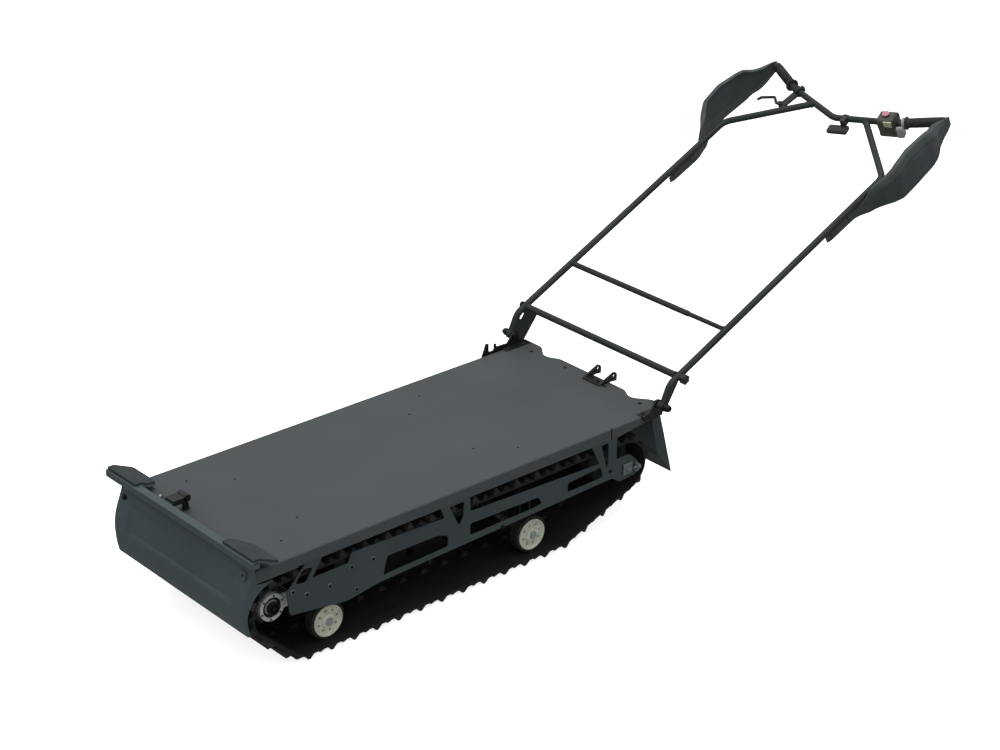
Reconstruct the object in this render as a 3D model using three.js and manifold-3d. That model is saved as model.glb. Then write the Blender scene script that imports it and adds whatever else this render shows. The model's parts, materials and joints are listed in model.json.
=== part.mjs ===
// Powered tracked carrier: a flat load deck on one wide rubber crawler track, with a push handle that
// folds forward over the deck. Millimetres, +Z up. While it is built, X is across the carrier (+X is
// the operator's left), Y runs from the front cover to the handle, and Z = 0 is the ground; the last
// lines centre the finished carrier on its bounding box.
import * as THREE from "three";
import { mergeVertices } from "three/addons/utils/BufferGeometryUtils.js";
import Module from "manifold-3d";

const wasm = await Module();
wasm.setup();

// ---------------------------------------------------------------- driving sizes
const seat = 0.3; // gap kept between pieces that touch
const running = 0.6; // radial clearance of a turning fit

// Deck
const deckHalf = 322; // half the deck's width
const deckTop = 355; // height of the load surface
const deckRear = 1510; // Y of the deck's rear edge
const deckSheet = 3; // thickness of the folded deck sheet
const flangeDepth = 37; // height of the folded side flange

// Side plates
const sideOut = deckHalf; // outer face
const sideThick = 4;

// Track
const trackHalf = sideOut - sideThick - 4; // half the track's width
const beltThick = 8;
const lugHeight = 18;
const lugLength = 26; // length of a lug along the belt
const lugPitchAim = 80; // the pitch is rounded to fit the belt's length
const wheelClear = 1; // belt to wheel

// Wheels
const roadRadius = 58; // road wheel over its tyre
const roadFrontY = 245;
const roadRearY = 1005;
const roadTyre = 9; // tyre thickness
const roadWidth = 38;
const roadFace = trackHalf - 23; // |X| of a road wheel's outer face
const endRadius = 78; // drive sprocket and rear idler
const driveY = 59;
const driveZ = 198;
const noseY = 155; // centres of the slide rails' round ends, where the belt leaves the ground
const tailY = 1112;
const idlerY = 1361;
const idlerZ = 200;
const axleRadius = 10;
const driveShaftRadius = 12.5;
const tensionTravel = 12; // the idler slackens forward by this much

// Handle
const handleAngle = THREE.MathUtils.degToRad(25.45); // above horizontal, as deployed
const pivotY = deckRear - 34;
const pivotZ = deckTop + 29;
const pivotRadius = 7;
const tubeHalf = deckHalf + 28; // |X| of the handle tubes' centre lines
const tubeRadius = 11;
const tubeWall = 2;
const tubeRise = 45.6; // the tubes' straight run above the pivot
const lowerBarS = 90.7; // stations along the handle from the pivot
const upperBarS = 312.7;
const tubeBendS = 1075;
const barMidS = 1245;
const barElbowS = 1311;
const barElbowX = tubeHalf - 118;
const barEndS = 1378;
const barEndX = tubeHalf + 19;
const gripRadius = 16;
const guardThick = 4;
const tieRadius = 6; // the crossbars' turned-down ends, through the frame tubes

const groundToRoad = lugHeight + beltThick + wheelClear + roadRadius; // road wheel centre height

// ---------------------------------------------------------------- making solids
const carrier = new THREE.Group();
const handle = new THREE.Group();
handle.position.set(0, pivotY, pivotZ);
handle.rotation.x = handleAngle;
carrier.add(handle);

const finishes = {
  deckPaint: { color: "#5a5f61", roughness: 0.55, metalness: 0.3 },
  framePaint: { color: "#3f4648", roughness: 0.5, metalness: 0.3 },
  coverPaint: { color: "#3d4648", roughness: 0.45, metalness: 0.3 },
  tubePaint: { color: "#33393b", roughness: 0.45, metalness: 0.3 },
  blackSteel: { color: "#141516", roughness: 0.45, metalness: 0.5 },
  zinc: { color: "#a7adae", roughness: 0.35, metalness: 0.8 },
  wheelPlastic: { color: "#c4c5b6", roughness: 0.5, metalness: 0 },
  rubber: { color: "#121312", roughness: 0.85, metalness: 0 },
  blackPlastic: { color: "#2b2f30", roughness: 0.6, metalness: 0 },
  olivePlastic: { color: "#3a3d30", roughness: 0.5, metalness: 0 },
  redPlastic: { color: "#a8323a", roughness: 0.4, metalness: 0 },
};

function add(parent, name, finish, geometry) {
  const mesh = new THREE.Mesh(geometry, new THREE.MeshStandardMaterial(finishes[finish]));
  mesh.name = name;
  parent.add(mesh);
}

function toSolid(geometry) {
  const bare = geometry.index ? geometry.toNonIndexed() : geometry.clone();
  bare.deleteAttribute("normal");
  bare.deleteAttribute("uv");
  const merged = mergeVertices(bare, 1e-3);
  return new wasm.Manifold(
    new wasm.Mesh({
      numProp: 3,
      vertProperties: merged.attributes.position.array,
      triVerts: new Uint32Array(merged.index.array),
    }),
  );
}

function toGeometry(solid) {
  const mesh = solid.getMesh();
  const geometry = new THREE.BufferGeometry();
  geometry.setAttribute("position", new THREE.BufferAttribute(mesh.vertProperties, 3));
  geometry.setIndex(new THREE.BufferAttribute(mesh.triVerts, 1));
  return geometry;
}

function join(...geometries) {
  return toGeometry(geometries.map(toSolid).reduce((a, b) => a.add(b)));
}

function cut(from, ...tools) {
  return toGeometry(tools.map(toSolid).reduce((a, b) => a.subtract(b), toSolid(from)));
}

// Mirror image across the carrier's middle plane, still facing out.
function mirrored(geometry) {
  const other = geometry.index ? geometry.toNonIndexed() : geometry.clone();
  const place = other.getAttribute("position");
  for (let i = 0; i < place.count; i += 1) {
    place.setX(i, -place.getX(i));
  }
  for (let i = 0; i < place.count; i += 3) {
    const second = new THREE.Vector3().fromBufferAttribute(place, i + 1);
    const third = new THREE.Vector3().fromBufferAttribute(place, i + 2);
    place.setXYZ(i + 1, third.x, third.y, third.z);
    place.setXYZ(i + 2, second.x, second.y, second.z);
  }
  return other;
}

// The same piece on both sides of the carrier, made on the +X side, the operator's left.
function addPair(parent, name, finish, left) {
  add(parent, `${name}_left`, finish, left);
  add(parent, `${name}_right`, finish, mirrored(left));
}

function box(x0, x1, y0, y1, z0, z1) {
  return new THREE.BoxGeometry(x1 - x0, y1 - y0, z1 - z0).translate(
    (x0 + x1) / 2,
    (y0 + y1) / 2,
    (z0 + z1) / 2,
  );
}

// A closed outline of [a, b] points, with optional holes.
function outline(points, ...holes) {
  const shape = new THREE.Shape(points.map(([a, b]) => new THREE.Vector2(a, b)));
  for (const hole of holes) {
    shape.holes.push(new THREE.Path(hole.map(([a, b]) => new THREE.Vector2(a, b))));
  }
  return shape;
}

const alongX = new THREE.Matrix4().makeBasis(
  new THREE.Vector3(0, 1, 0),
  new THREE.Vector3(0, 0, 1),
  new THREE.Vector3(1, 0, 0),
);

// A plate whose outline lies in the Y-Z plane, from x0 to x1.
function plateX(shape, x0, x1) {
  return new THREE.ExtrudeGeometry(shape, { depth: x1 - x0, bevelEnabled: false, steps: 1 })
    .applyMatrix4(alongX)
    .translate(x0, 0, 0);
}

// A plate whose outline lies in the X-Y plane, from z0 to z1.
function plateZ(shape, z0, z1) {
  return new THREE.ExtrudeGeometry(shape, { depth: z1 - z0, bevelEnabled: false, steps: 1 })
    .translate(0, 0, z0);
}

function arc(centreA, centreB, radius, fromDeg, toDeg, steps) {
  const points = [];
  for (let i = 0; i <= steps; i += 1) {
    const turn = THREE.MathUtils.degToRad(fromDeg + ((toDeg - fromDeg) * i) / steps);
    points.push([centreA + radius * Math.cos(turn), centreB + radius * Math.sin(turn)]);
  }
  return points;
}

function circle(centreA, centreB, radius, steps = 16) {
  return arc(centreA, centreB, radius, 0, 360 - 360 / steps, steps - 1);
}

function rodX(radius, x0, x1, y, z, steps = 16) {
  return plateX(outline(circle(y, z, radius, steps)), x0, x1);
}

// Radius of a faceted bore whose flats clear a round of this radius by a gap.
function bore(radius, gap, steps = 16) {
  return (radius + gap) / Math.cos(Math.PI / steps);
}

function ringX(outer, inner, x0, x1, y, z, steps = 24) {
  return plateX(outline(circle(y, z, outer, steps), circle(y, z, inner, steps)), x0, x1);
}

// A turned piece about a line along X: the profile is [radius, x], closed.
function turnedX(profile, y, z, steps = 24) {
  const points = profile.map(([radius, x]) => new THREE.Vector2(radius, x));
  points.push(points[0].clone());
  return new THREE.LatheGeometry(points, steps)
    .applyMatrix4(new THREE.Matrix4().makeBasis(
      new THREE.Vector3(0, 0, 1),
      new THREE.Vector3(1, 0, 0),
      new THREE.Vector3(0, 1, 0),
    ))
    .translate(0, y, z);
}

// The centre line of a bent bar through corner points, with a station at each end of every straight
// and along each bend.
class BentLine extends THREE.Curve {
  constructor(corners, bendRadius, bendSteps) {
    super();
    this.stations = [];
    const places = corners.map((corner) => new THREE.Vector3(...corner));
    const last = places.length - 1;
    this.addStation(places[0], places[1].clone().sub(places[0]));
    for (let i = 1; i < last; i += 1) {
      const before = places[i].clone().sub(places[i - 1]).normalize();
      const after = places[i + 1].clone().sub(places[i]).normalize();
      const angle = before.angleTo(after);
      const back = bendRadius * Math.tan(angle / 2);
      const centre = places[i].clone().addScaledVector(
        after.clone().sub(before).normalize(),
        bendRadius / Math.cos(angle / 2),
      );
      const start = places[i].clone().addScaledVector(before, -back).sub(centre);
      const axis = before.clone().cross(after).normalize();
      for (let k = 0; k <= bendSteps; k += 1) {
        const turn = (angle * k) / bendSteps;
        this.addStation(
          start.clone().applyAxisAngle(axis, turn).add(centre),
          before.clone().applyAxisAngle(axis, turn),
        );
      }
    }
    this.addStation(places[last], places[last].clone().sub(places[last - 1]));
  }
  addStation(place, heading) {
    this.stations.push({ place: place.clone(), heading: heading.clone().normalize() });
  }
  get steps() {
    return this.stations.length - 1;
  }
  station(u) {
    return this.stations[Math.round(u * this.steps)];
  }
  getPointAt(u, target = new THREE.Vector3()) {
    return target.copy(this.station(u).place);
  }
  getTangentAt(u, target = new THREE.Vector3()) {
    return target.copy(this.station(u).heading);
  }
}

// A round bar or tube bent through the corners. An inner radius of 0 makes it solid.
const tubeSides = 12;
const innerSides = 8;
function bentTube(corners, bendRadius, outer, inner, bendSteps = 4) {
  const line = new BentLine(corners, bendRadius, bendSteps);
  const section = inner > 0
    ? outline(circle(0, 0, outer, tubeSides), circle(0, 0, inner, innerSides))
    : outline(circle(0, 0, outer, tubeSides));
  return new THREE.ExtrudeGeometry(section, {
    extrudePath: line,
    steps: line.steps,
    bevelEnabled: false,
  });
}

// ---------------------------------------------------------------- deck
const deckFrontY = -14;
const tabY = deckRear + 16; // the rear corner tabs reach past the edge
const tabHalf = deckHalf + 12;
const slitY = deckRear - 216; // relief slit in the side flange, where the corner fold starts
const notchFrom = 135;
const notchTo = 262;
const notchDepth = 28;

function rearEdge(side) {
  const middle = (notchFrom + notchTo) / 2;
  const half = (notchTo - notchFrom) / 2;
  const points = [];
  for (let i = 0; i <= 8; i += 1) {
    const across = -half + (2 * half * i) / 8;
    const share = Math.cos((Math.PI / 2) * (across / half)) ** 2;
    const lift = (tabY - deckRear) * (i / 8);
    points.push([side * (middle + across), deckRear + lift - notchDepth * share]);
  }
  return points;
}

const rightNotch = rearEdge(-1).reverse();
const deckOutline = outline([
  [-deckHalf, deckFrontY],
  [deckHalf, deckFrontY],
  [deckHalf, deckRear - 10],
  [tabHalf, deckRear - 2],
  [tabHalf, tabY],
  ...rearEdge(1).reverse(),
  ...rightNotch.reverse(),
  [-tabHalf, tabY],
  [-tabHalf, deckRear - 2],
  [-deckHalf, deckRear - 10],
]);
const screwPlaces = [
  [150, 250],
  [230, 137],
  [150, 895],
  [230, 1000],
];
const flangeLow = deckTop - flangeDepth;
const flangeOutline = outline([
  [deckFrontY, deckTop - deckSheet],
  [deckFrontY, deckTop - 40],
  [125, deckTop - 40],
  [150, flangeLow],
  [slitY - 3, flangeLow],
  [slitY - 3, deckTop - 14],
  [slitY + 3, deckTop - 14],
  [slitY + 3, flangeLow],
  [slitY + 22, flangeLow],
  [deckRear - 10, deckTop - 15],
  [deckRear - 10, deckTop - deckSheet],
]);
const flange = plateX(flangeOutline, deckHalf - deckSheet, deckHalf);
const deckPlate = plateZ(deckOutline, deckTop - deckSheet, deckTop);
const screwHoles = screwPlaces.flatMap(([x, y]) =>
  [x, -x].map((across) =>
    plateZ(outline(circle(across, y, 4, 10)), deckTop - 2 * deckSheet, deckTop + deckSheet)));
add(carrier, "deck_plate", "deckPaint",
  cut(join(deckPlate, flange, mirrored(flange)), ...screwHoles));

// ---------------------------------------------------------------- front cover
// A folded sheet that follows this profile of [Y, Z], with a cheek at each end.
const coverSheet = 3;
const coverProfile = [
  [deckFrontY - 3, deckTop + 14],
  [-27, deckTop - 4],
  [-34, 332],
  [-46, 303],
  [-54, 275],
  [-57, 245],
  [-56, 215],
  [-53, 185],
  [-47, 160],
];
const coverInner = coverProfile.map(([y, z]) => [y + coverSheet, z]).reverse();
const coverShell = plateX(outline([...coverProfile, ...coverInner]), -deckHalf, deckHalf);
const archRadius = endRadius + wheelClear + beltThick + lugHeight + 4;
const cheek = plateX(
  outline([
    ...coverProfile.slice(1).map(([y, z]) => [y + 1, z]),
    ...arc(driveY, driveZ, archRadius, 200, 100, 10),
    [deckFrontY - seat + 16, flangeLow - 8],
    [deckFrontY - seat, flangeLow - 5],
    [deckFrontY - seat, deckTop - 4],
  ]),
  deckHalf - coverSheet,
  deckHalf,
);
const coverHoles = [-1, 1].map((side) => rodX(4, -1, 1, 0, 0, 12)
  .rotateZ(Math.PI / 2)
  .scale(1, 30, 1)
  .translate(side * (deckHalf - 30), -40, deckTop - 20));
add(carrier, "front_cover", "coverPaint",
  cut(join(coverShell, cheek, mirrored(cheek)), ...coverHoles));

// ---------------------------------------------------------------- front stop bar and its pads
const barTopZ = deckTop + 51;
const stopBarY0 = -50;
const stopBarY1 = -24;
const wingHalf = deckHalf + 36;
const wingFrom = 214;
const padThick = 8;
const stopBar = box(-wingHalf, wingHalf, stopBarY0, stopBarY1, barTopZ - 22, barTopZ);
const wingRear = 42;
const wingDrop = 30; // the wings slope down from the bar to their rear edge
// A plate that lies on the bar and slopes down behind it, between two heights above the bar's top.
function slopedWing(x0, x1, low, high) {
  const along = [
    [stopBarY0 + 4, 0],
    [stopBarY1, 0],
    [wingRear, -wingDrop],
  ];
  const under = along.map(([y, z]) => [y, barTopZ + z + low]);
  const over = along.map(([y, z]) => [y, barTopZ + z + high]).reverse();
  const corner = plateZ(
    outline([
      [x0 - 1, -6],
      [x0 + 32, wingRear + 1],
      [x0 - 1, wingRear + 1],
    ]),
    deckTop,
    barTopZ + 2 * padThick,
  );
  return cut(plateX(outline([...under, ...over]), x0, x1), corner);
}
const wing = slopedWing(wingFrom - 6, wingHalf, -6, 0);
const post = plateX(
  outline([
    [stopBarY0 + 2, barTopZ - 10],
    [stopBarY0 + 2, barTopZ - 22],
    [deckFrontY + 5, deckTop + 19],
    [deckFrontY + 5, deckTop + seat],
    [deckFrontY + 50, deckTop + seat],
    [deckFrontY + 36, deckTop + 12],
    [stopBarY1 + 2, barTopZ - 10],
  ]),
  250,
  256,
);
const stopPlate = plateX(
  outline([
    [stopBarY0 + 6, barTopZ - 12],
    [stopBarY0 + 6, barTopZ - 18],
    [deckFrontY + 4, deckTop + 22],
    [deckFrontY + 4, deckTop + seat],
    [deckFrontY + 36, deckTop + seat],
    [deckFrontY + 36, deckTop + 4],
    [deckFrontY + 8, deckTop + 4],
    [deckFrontY + 8, deckTop + 26],
    [stopBarY0 + 12, barTopZ - 12],
  ]),
  -(deckHalf - 32),
  deckHalf - 32,
);
add(carrier, "stop_bar", "coverPaint",
  join(stopBar, wing, mirrored(wing), post, mirrored(post), stopPlate));
const pad = slopedWing(wingFrom - 2, wingHalf - 2, seat, padThick);
addPair(carrier, "stop_pad", "rubber", pad);
add(carrier, "strap_catch", "blackSteel", join(
  box(-118, -62, stopBarY1 + seat, stopBarY1 + 12, barTopZ - 14, barTopZ - 2),
  box(-104, -64, stopBarY1 + 8, 46, barTopZ - 14, barTopZ + 4),
  box(-94, -88, 30, 52, deckTop + seat, barTopZ - 8),
));

// ---------------------------------------------------------------- side plates
const sideWindows = [
  [[416, 180], [432, 238], [618, 236], [655, 222], [655, 186]],
  [[737, 192], [737, 232], [1000, 226], [1016, 200], [985, 195]],
  [[1117, 200], [1117, 232], [1252, 240], [1262, 202]],
  [[150, 259], [176, 297], [152, 303], [139, 300], [113, 267], [130, 261]],
  [[660, 312], [716, 312], [712, 262], [696, 238]],
  [[1252, 312], [1282, 312], [1282, 236], [1276, 226]],
];
const sideHoles = [[104, 246], [150, 221], [229, 218], [305, 250], [321, 173], [381, 248]];
const slotLow = idlerY - tensionTravel - 12;
const slotHigh = idlerY + 12;
const tensionSlot = [
  [slotLow, idlerZ - 12],
  [slotHigh, idlerZ - 12],
  [slotHigh, idlerZ + 12],
  [slotLow, idlerZ + 12],
];
const sidePlate = plateX(
  outline(
    [
      [92, 176],
      [170, 165],
      [288, 147],
      [400, 164],
      [1300, 186],
      [1330, 164],
      [1400, 170],
      [1408, 209],
      [1372, 244],
      [1316, 244],
      [1316, flangeLow - seat],
      [1214, flangeLow - seat],
      [1246, 252],
      [738, 270],
      [738, flangeLow - seat],
      [628, flangeLow - seat],
      [642, 282],
      [308, 293],
      [295, 264],
      [170, 264],
      [206, flangeLow - seat],
      [151, flangeLow - seat],
      [84, 249],
    ],
    ...sideWindows,
    ...sideHoles.map(([y, z]) => circle(y, z, 4, 10)),
    tensionSlot,
  ),
  sideOut - sideThick,
  sideOut,
);
addPair(carrier, "side_plate", "framePaint", sidePlate);

// ---------------------------------------------------------------- track belt
// The belt runs round the drive sprocket, the ends of the slide rails and the idler.
const stops = [
  { y: driveY, z: driveZ, r: endRadius },
  { y: noseY, z: groundToRoad, r: roadRadius },
  { y: tailY, z: groundToRoad, r: roadRadius },
  { y: idlerY, z: idlerZ, r: endRadius },
];

// Points and outward normals round the loop, at a distance outside the wheels.
function beltLoop(offset, arcSteps) {
  const path = [];
  const count = stops.length;
  const headings = stops.map((from, i) => {
    const to = stops[(i + 1) % count];
    const run = Math.hypot(to.y - from.y, to.z - from.z);
    const tilt = Math.asin((to.r - from.r) / run);
    return Math.atan2(to.z - from.z, to.y - from.y) - tilt;
  });
  for (let i = 0; i < count; i += 1) {
    const arrive = headings[(i + count - 1) % count] - Math.PI / 2;
    let leave = headings[i] - Math.PI / 2;
    while (leave < arrive) {
      leave += 2 * Math.PI;
    }
    for (let k = 0; k <= arcSteps; k += 1) {
      const turn = arrive + ((leave - arrive) * k) / arcSteps;
      const radius = stops[i].r + offset;
      path.push([
        stops[i].y + radius * Math.cos(turn),
        stops[i].z + radius * Math.sin(turn),
      ]);
    }
  }
  return path;
}

// Walks a closed path and gives the place and outward normal at a distance along it.
function walker(path) {
  const legs = path.map((from, i) => {
    const to = path[(i + 1) % path.length];
    return { from, to, length: Math.hypot(to[0] - from[0], to[1] - from[1]) };
  });
  const total = legs.reduce((sum, leg) => sum + leg.length, 0);
  const at = (distance) => {
    let left = ((distance % total) + total) % total;
    for (const leg of legs) {
      if (left <= leg.length) {
        const share = leg.length > 0 ? left / leg.length : 0;
        const heading = [(leg.to[0] - leg.from[0]) / leg.length, (leg.to[1] - leg.from[1]) / leg.length];
        return {
          place: [
            leg.from[0] + (leg.to[0] - leg.from[0]) * share,
            leg.from[1] + (leg.to[1] - leg.from[1]) * share,
          ],
          normal: [heading[1], -heading[0]],
        };
      }
      left -= leg.length;
    }
    return null;
  };
  return { total, at };
}

const beltOuter = walker(beltLoop(wheelClear + beltThick, 12));
const lugCount = Math.round(beltOuter.total / lugPitchAim);
const lugPitch = beltOuter.total / lugCount;
const treadPath = [];
const treadSteps = 3;
for (let i = 0; i < lugCount; i += 1) {
  const start = i * lugPitch;
  const root = (along) => treadPath.push(beltOuter.at(start + along).place);
  const tip = (along) => {
    const { place, normal } = beltOuter.at(start + along);
    treadPath.push([place[0] + normal[0] * lugHeight, place[1] + normal[1] * lugHeight]);
  };
  root(0);
  tip(4);
  tip(lugLength - 4);
  root(lugLength);
  for (let k = 1; k < treadSteps; k += 1) {
    root(lugLength + ((lugPitch - lugLength) * k) / treadSteps);
  }
}
const beltInner = beltLoop(wheelClear, 14);
add(carrier, "track_belt", "rubber",
  plateX(outline(treadPath, beltInner), -trackHalf, trackHalf));

// ---------------------------------------------------------------- road wheels on their axles
const roadInner = roadFace - roadWidth;
const hubRadius = roadRadius - roadTyre;
const bearingRadius = axleRadius + running;
for (const [end, y] of [["front", roadFrontY], ["rear", roadRearY]]) {
  const tyre = ringX(roadRadius, hubRadius + seat, roadInner, roadFace - 4, y, groundToRoad);
  addPair(carrier, `road_tyre_${end}`, "rubber", tyre);
  const hub = turnedX(
    [
      [bearingRadius, roadInner],
      [hubRadius, roadInner],
      [hubRadius, roadFace],
      [hubRadius - 9, roadFace],
      [hubRadius - 13, roadFace - 8],
      [20, roadFace + 3],
      [bearingRadius, roadFace + 3],
    ],
    y,
    groundToRoad,
  );
  addPair(carrier, `road_hub_${end}`, "wheelPlastic", hub);
  const axleHalf = roadFace + 6;
  const axle = join(
    rodX(axleRadius, -axleHalf, axleHalf, y, groundToRoad),
    rodX(16, roadFace + 3 + running, axleHalf + 1, y, groundToRoad, 12),
    rodX(16, -axleHalf - 1, -roadFace - 3 - running, y, groundToRoad, 12),
    rodX(16, roadInner - 8, roadInner - running, y, groundToRoad, 12),
    rodX(16, -roadInner + running, -roadInner + 8, y, groundToRoad, 12),
  );
  add(carrier, `road_axle_${end}`, "zinc", axle);
}

// ---------------------------------------------------------------- slide rails, cross tubes
const crossSize = 40;
const crossFrontY = 400;
const crossRearY = 950;
const crossZ = 205;
const crossHalf = sideOut - sideThick - seat;
for (const [end, y] of [["front", crossFrontY], ["rear", crossRearY]]) {
  const inside = crossSize / 2 - 3;
  const square = (half) => [
    [y - half, crossZ - half],
    [y + half, crossZ - half],
    [y + half, crossZ + half],
    [y - half, crossZ + half],
  ];
  add(carrier, `cross_tube_${end}`, "framePaint",
    plateX(outline(square(crossSize / 2), square(inside)), -crossHalf, crossHalf));
}
const railLow = groundToRoad - roadRadius;
const railHigh = groundToRoad + 18;
const railArmTop = crossZ - crossSize / 2 - seat;
const railX = 130;
const railWeb = 8;
const rail = join(
  plateX(
    outline(
      [
        ...arc(noseY, groundToRoad, roadRadius, 170, 270, 8),
        ...arc(tailY, groundToRoad, roadRadius, 270, 340, 6),
        [tailY + 30, railHigh - 20],
        [roadRearY + 20, railHigh],
        [crossRearY + 22, railHigh],
        [crossRearY + 16, railArmTop],
        [crossRearY - 16, railArmTop],
        [crossRearY - 26, railHigh],
        [crossFrontY + 26, railHigh],
        [crossFrontY + 16, railArmTop],
        [crossFrontY - 16, railArmTop],
        [crossFrontY - 22, railHigh],
        [noseY - 36, railHigh],
      ],
      circle(roadFrontY, groundToRoad, axleRadius + seat),
      circle(roadRearY, groundToRoad, axleRadius + seat),
    ),
    railX,
    railX + railWeb,
  ),
  box(railX - 12, railX + railWeb + 12, noseY, tailY, railLow, railLow + 8),
);
addPair(carrier, "slide_rail", "framePaint", rail);

// ---------------------------------------------------------------- drive: shaft, sprockets, motor
const sprocketX = 200;
const sprocketWidth = 24;
const teeth = 10;
const toothPath = [];
for (let i = 0; i < teeth; i += 1) {
  const at = (share, radius) => {
    const turn = (2 * Math.PI * (i + share)) / teeth;
    toothPath.push([driveY + radius * Math.cos(turn), driveZ + radius * Math.sin(turn)]);
  };
  at(0, endRadius - 12);
  at(0.28, endRadius - 12);
  at(0.4, endRadius);
  at(0.88, endRadius);
}
const sprocket = plateX(
  outline(toothPath, circle(driveY, driveZ, bore(driveShaftRadius, seat))),
  sprocketX,
  sprocketX + sprocketWidth,
);
addPair(carrier, "drive_sprocket", "blackPlastic", sprocket);
const housingX = sideOut - 54;
const driveShaftEnd = housingX + 28;
add(carrier, "drive_shaft", "zinc", join(
  rodX(driveShaftRadius, -driveShaftEnd, driveShaftEnd, driveY, driveZ),
  rodX(21, driveShaftEnd - 6, driveShaftEnd, driveY, driveZ),
  rodX(21, -driveShaftEnd, -driveShaftEnd + 6, driveY, driveZ),
  rodX(24, sprocketX - 8, sprocketX - seat, driveY, driveZ),
  rodX(24, -sprocketX + seat, -sprocketX + 8, driveY, driveZ),
));
const housing = cut(
  join(
    rodX(42, housingX, housingX + 18, driveY, driveZ),
    box(housingX, housingX + 8, driveY, 168, driveZ - 22, driveZ + 22),
    box(housingX, sideOut - sideThick - seat, 148, 168, driveZ - 22, driveZ + 22),
  ),
  rodX(driveShaftRadius + running, housingX - 1, housingX + 19, driveY, driveZ),
  rodX(30, housingX + 12, housingX + 19, driveY, driveZ),
);
addPair(carrier, "drive_bearing", "zinc", housing);
const motorY = 205;
const motorZ = 196;
const caseX0 = 30;
const caseX1 = 78;
const gearCase = cut(
  join(
    plateX(
      outline([
        ...arc(driveY, driveZ, 40, 90, 270, 10),
        ...arc(motorY, motorZ, 56, -90, 90, 14),
      ]),
      caseX0,
      caseX1,
    ),
    rodX(50, caseX0 - 170, caseX0 + 1, motorY, motorZ),
    rodX(36, caseX0 - 196, caseX0 - 169, motorY, motorZ),
    box(-60, 60, motorY + 40, crossFrontY - crossSize / 2 - seat, motorZ - 16, motorZ + 16),
  ),
  rodX(driveShaftRadius + running, caseX0 - 1, caseX1 + 1, driveY, driveZ),
);
add(carrier, "drive_motor", "blackPlastic", gearCase);
add(carrier, "battery_box", "blackPlastic", join(
  box(-railX + 10, railX - 10, crossFrontY + crossSize / 2 + seat, crossRearY - crossSize / 2 - seat, 122, 236),
  box(-60, 60, 560, 590, 235, 244),
));

// ---------------------------------------------------------------- rear idler and its tensioner
const idlerShaftEnd = sideOut - sideThick - 16;
const idlerX = 200;
for (const [name, sign] of [["left", 1], ["right", -1]]) {
  const wheel = turnedX(
    [
      [axleRadius + running, idlerX],
      [26, idlerX],
      [endRadius - 10, idlerX + 6],
      [endRadius, idlerX - 4],
      [endRadius, idlerX + 34],
      [endRadius - 10, idlerX + 24],
      [26, idlerX + 30],
      [axleRadius + running, idlerX + 30],
    ],
    idlerY,
    idlerZ,
  );
  add(carrier, `idler_wheel_${name}`, "blackPlastic", sign > 0 ? wheel : mirrored(wheel));
}
const blockHalf = 11.4; // fits the slot in the side plate
const tensionBlock = join(
  box(idlerShaftEnd, sideOut - sideThick - seat, idlerY - 20, idlerY + 20, idlerZ - 20, idlerZ + 20),
  box(sideOut - sideThick - 1, sideOut + 1, idlerY - blockHalf, idlerY + blockHalf,
    idlerZ - blockHalf, idlerZ + blockHalf),
  box(sideOut + seat, sideOut + 6, idlerY - 18, idlerY + 18, idlerZ - 18, idlerZ + 18),
  rodX(9, sideOut + 5, sideOut + 12, idlerY, idlerZ, 6),
);
const idlerAxle = join(
  rodX(axleRadius, -idlerShaftEnd - 1, idlerShaftEnd + 1, idlerY, idlerZ),
  rodX(18, idlerX - 14, idlerX - running, idlerY, idlerZ, 16),
  rodX(18, -idlerX + running, -idlerX + 14, idlerY, idlerZ, 16),
);
add(carrier, "tensioner", "zinc", join(tensionBlock, mirrored(tensionBlock), idlerAxle));
const adjusterX = sideOut + seat;
const adjuster = join(
  box(adjusterX, adjusterX + 4, idlerY + 30, idlerY + 46, idlerZ - 22, idlerZ + 8),
  box(adjusterX, adjusterX + 17, idlerY + 30, idlerY + 36, idlerZ - 12, idlerZ + 8),
  rodX(4.6, 0, 30, 0, 0, 8).rotateZ(Math.PI / 2).translate(adjusterX + 9, idlerY + 18 + seat, idlerZ - 2),
  rodX(8.5, 0, 8, 0, 0, 6).rotateZ(Math.PI / 2).translate(adjusterX + 9, idlerY + 36, idlerZ - 2),
);
addPair(carrier, "track_adjuster", "zinc", adjuster);

// ---------------------------------------------------------------- rear apron and tow hitch
const apronSheet = 3;
const apronTopY = deckRear - 36;
const apronLowY = deckRear + 45;
const apronLowZ = 124;
const apronProfile = [
  [apronTopY - 34, deckTop - deckSheet - seat],
  [apronTopY + 10, deckTop - deckSheet - seat],
  [apronTopY + 28, deckTop - 22],
  [apronLowY, apronLowZ],
];
const apronInner = [
  [apronLowY - apronSheet, apronLowZ],
  [apronTopY + 28 - apronSheet, deckTop - 22],
  [apronTopY + 10 - apronSheet, deckTop - deckSheet - apronSheet - seat],
  [apronTopY - 34, deckTop - deckSheet - apronSheet - seat],
];
const apronWeb = plateX(
  outline([...apronProfile].reverse().concat([...apronInner].reverse())),
  -deckHalf + deckSheet + seat,
  deckHalf - deckSheet - seat,
);
const apronSide = plateX(
  outline([
    [apronTopY + 27, deckTop - 24],
    [apronLowY - 1, apronLowZ],
    [apronLowY - 24, apronLowZ + 34],
    [apronTopY + 18, 208],
    [apronTopY - 4, 300],
    [apronTopY - 8, deckTop - 24],
  ]),
  deckHalf - deckSheet - seat - apronSheet,
  deckHalf - deckSheet - seat,
);
add(carrier, "rear_apron", "framePaint", join(apronWeb, apronSide, mirrored(apronSide)));
const hitchY = deckRear + 19;
const hitchZ = deckTop + 17;
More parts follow.
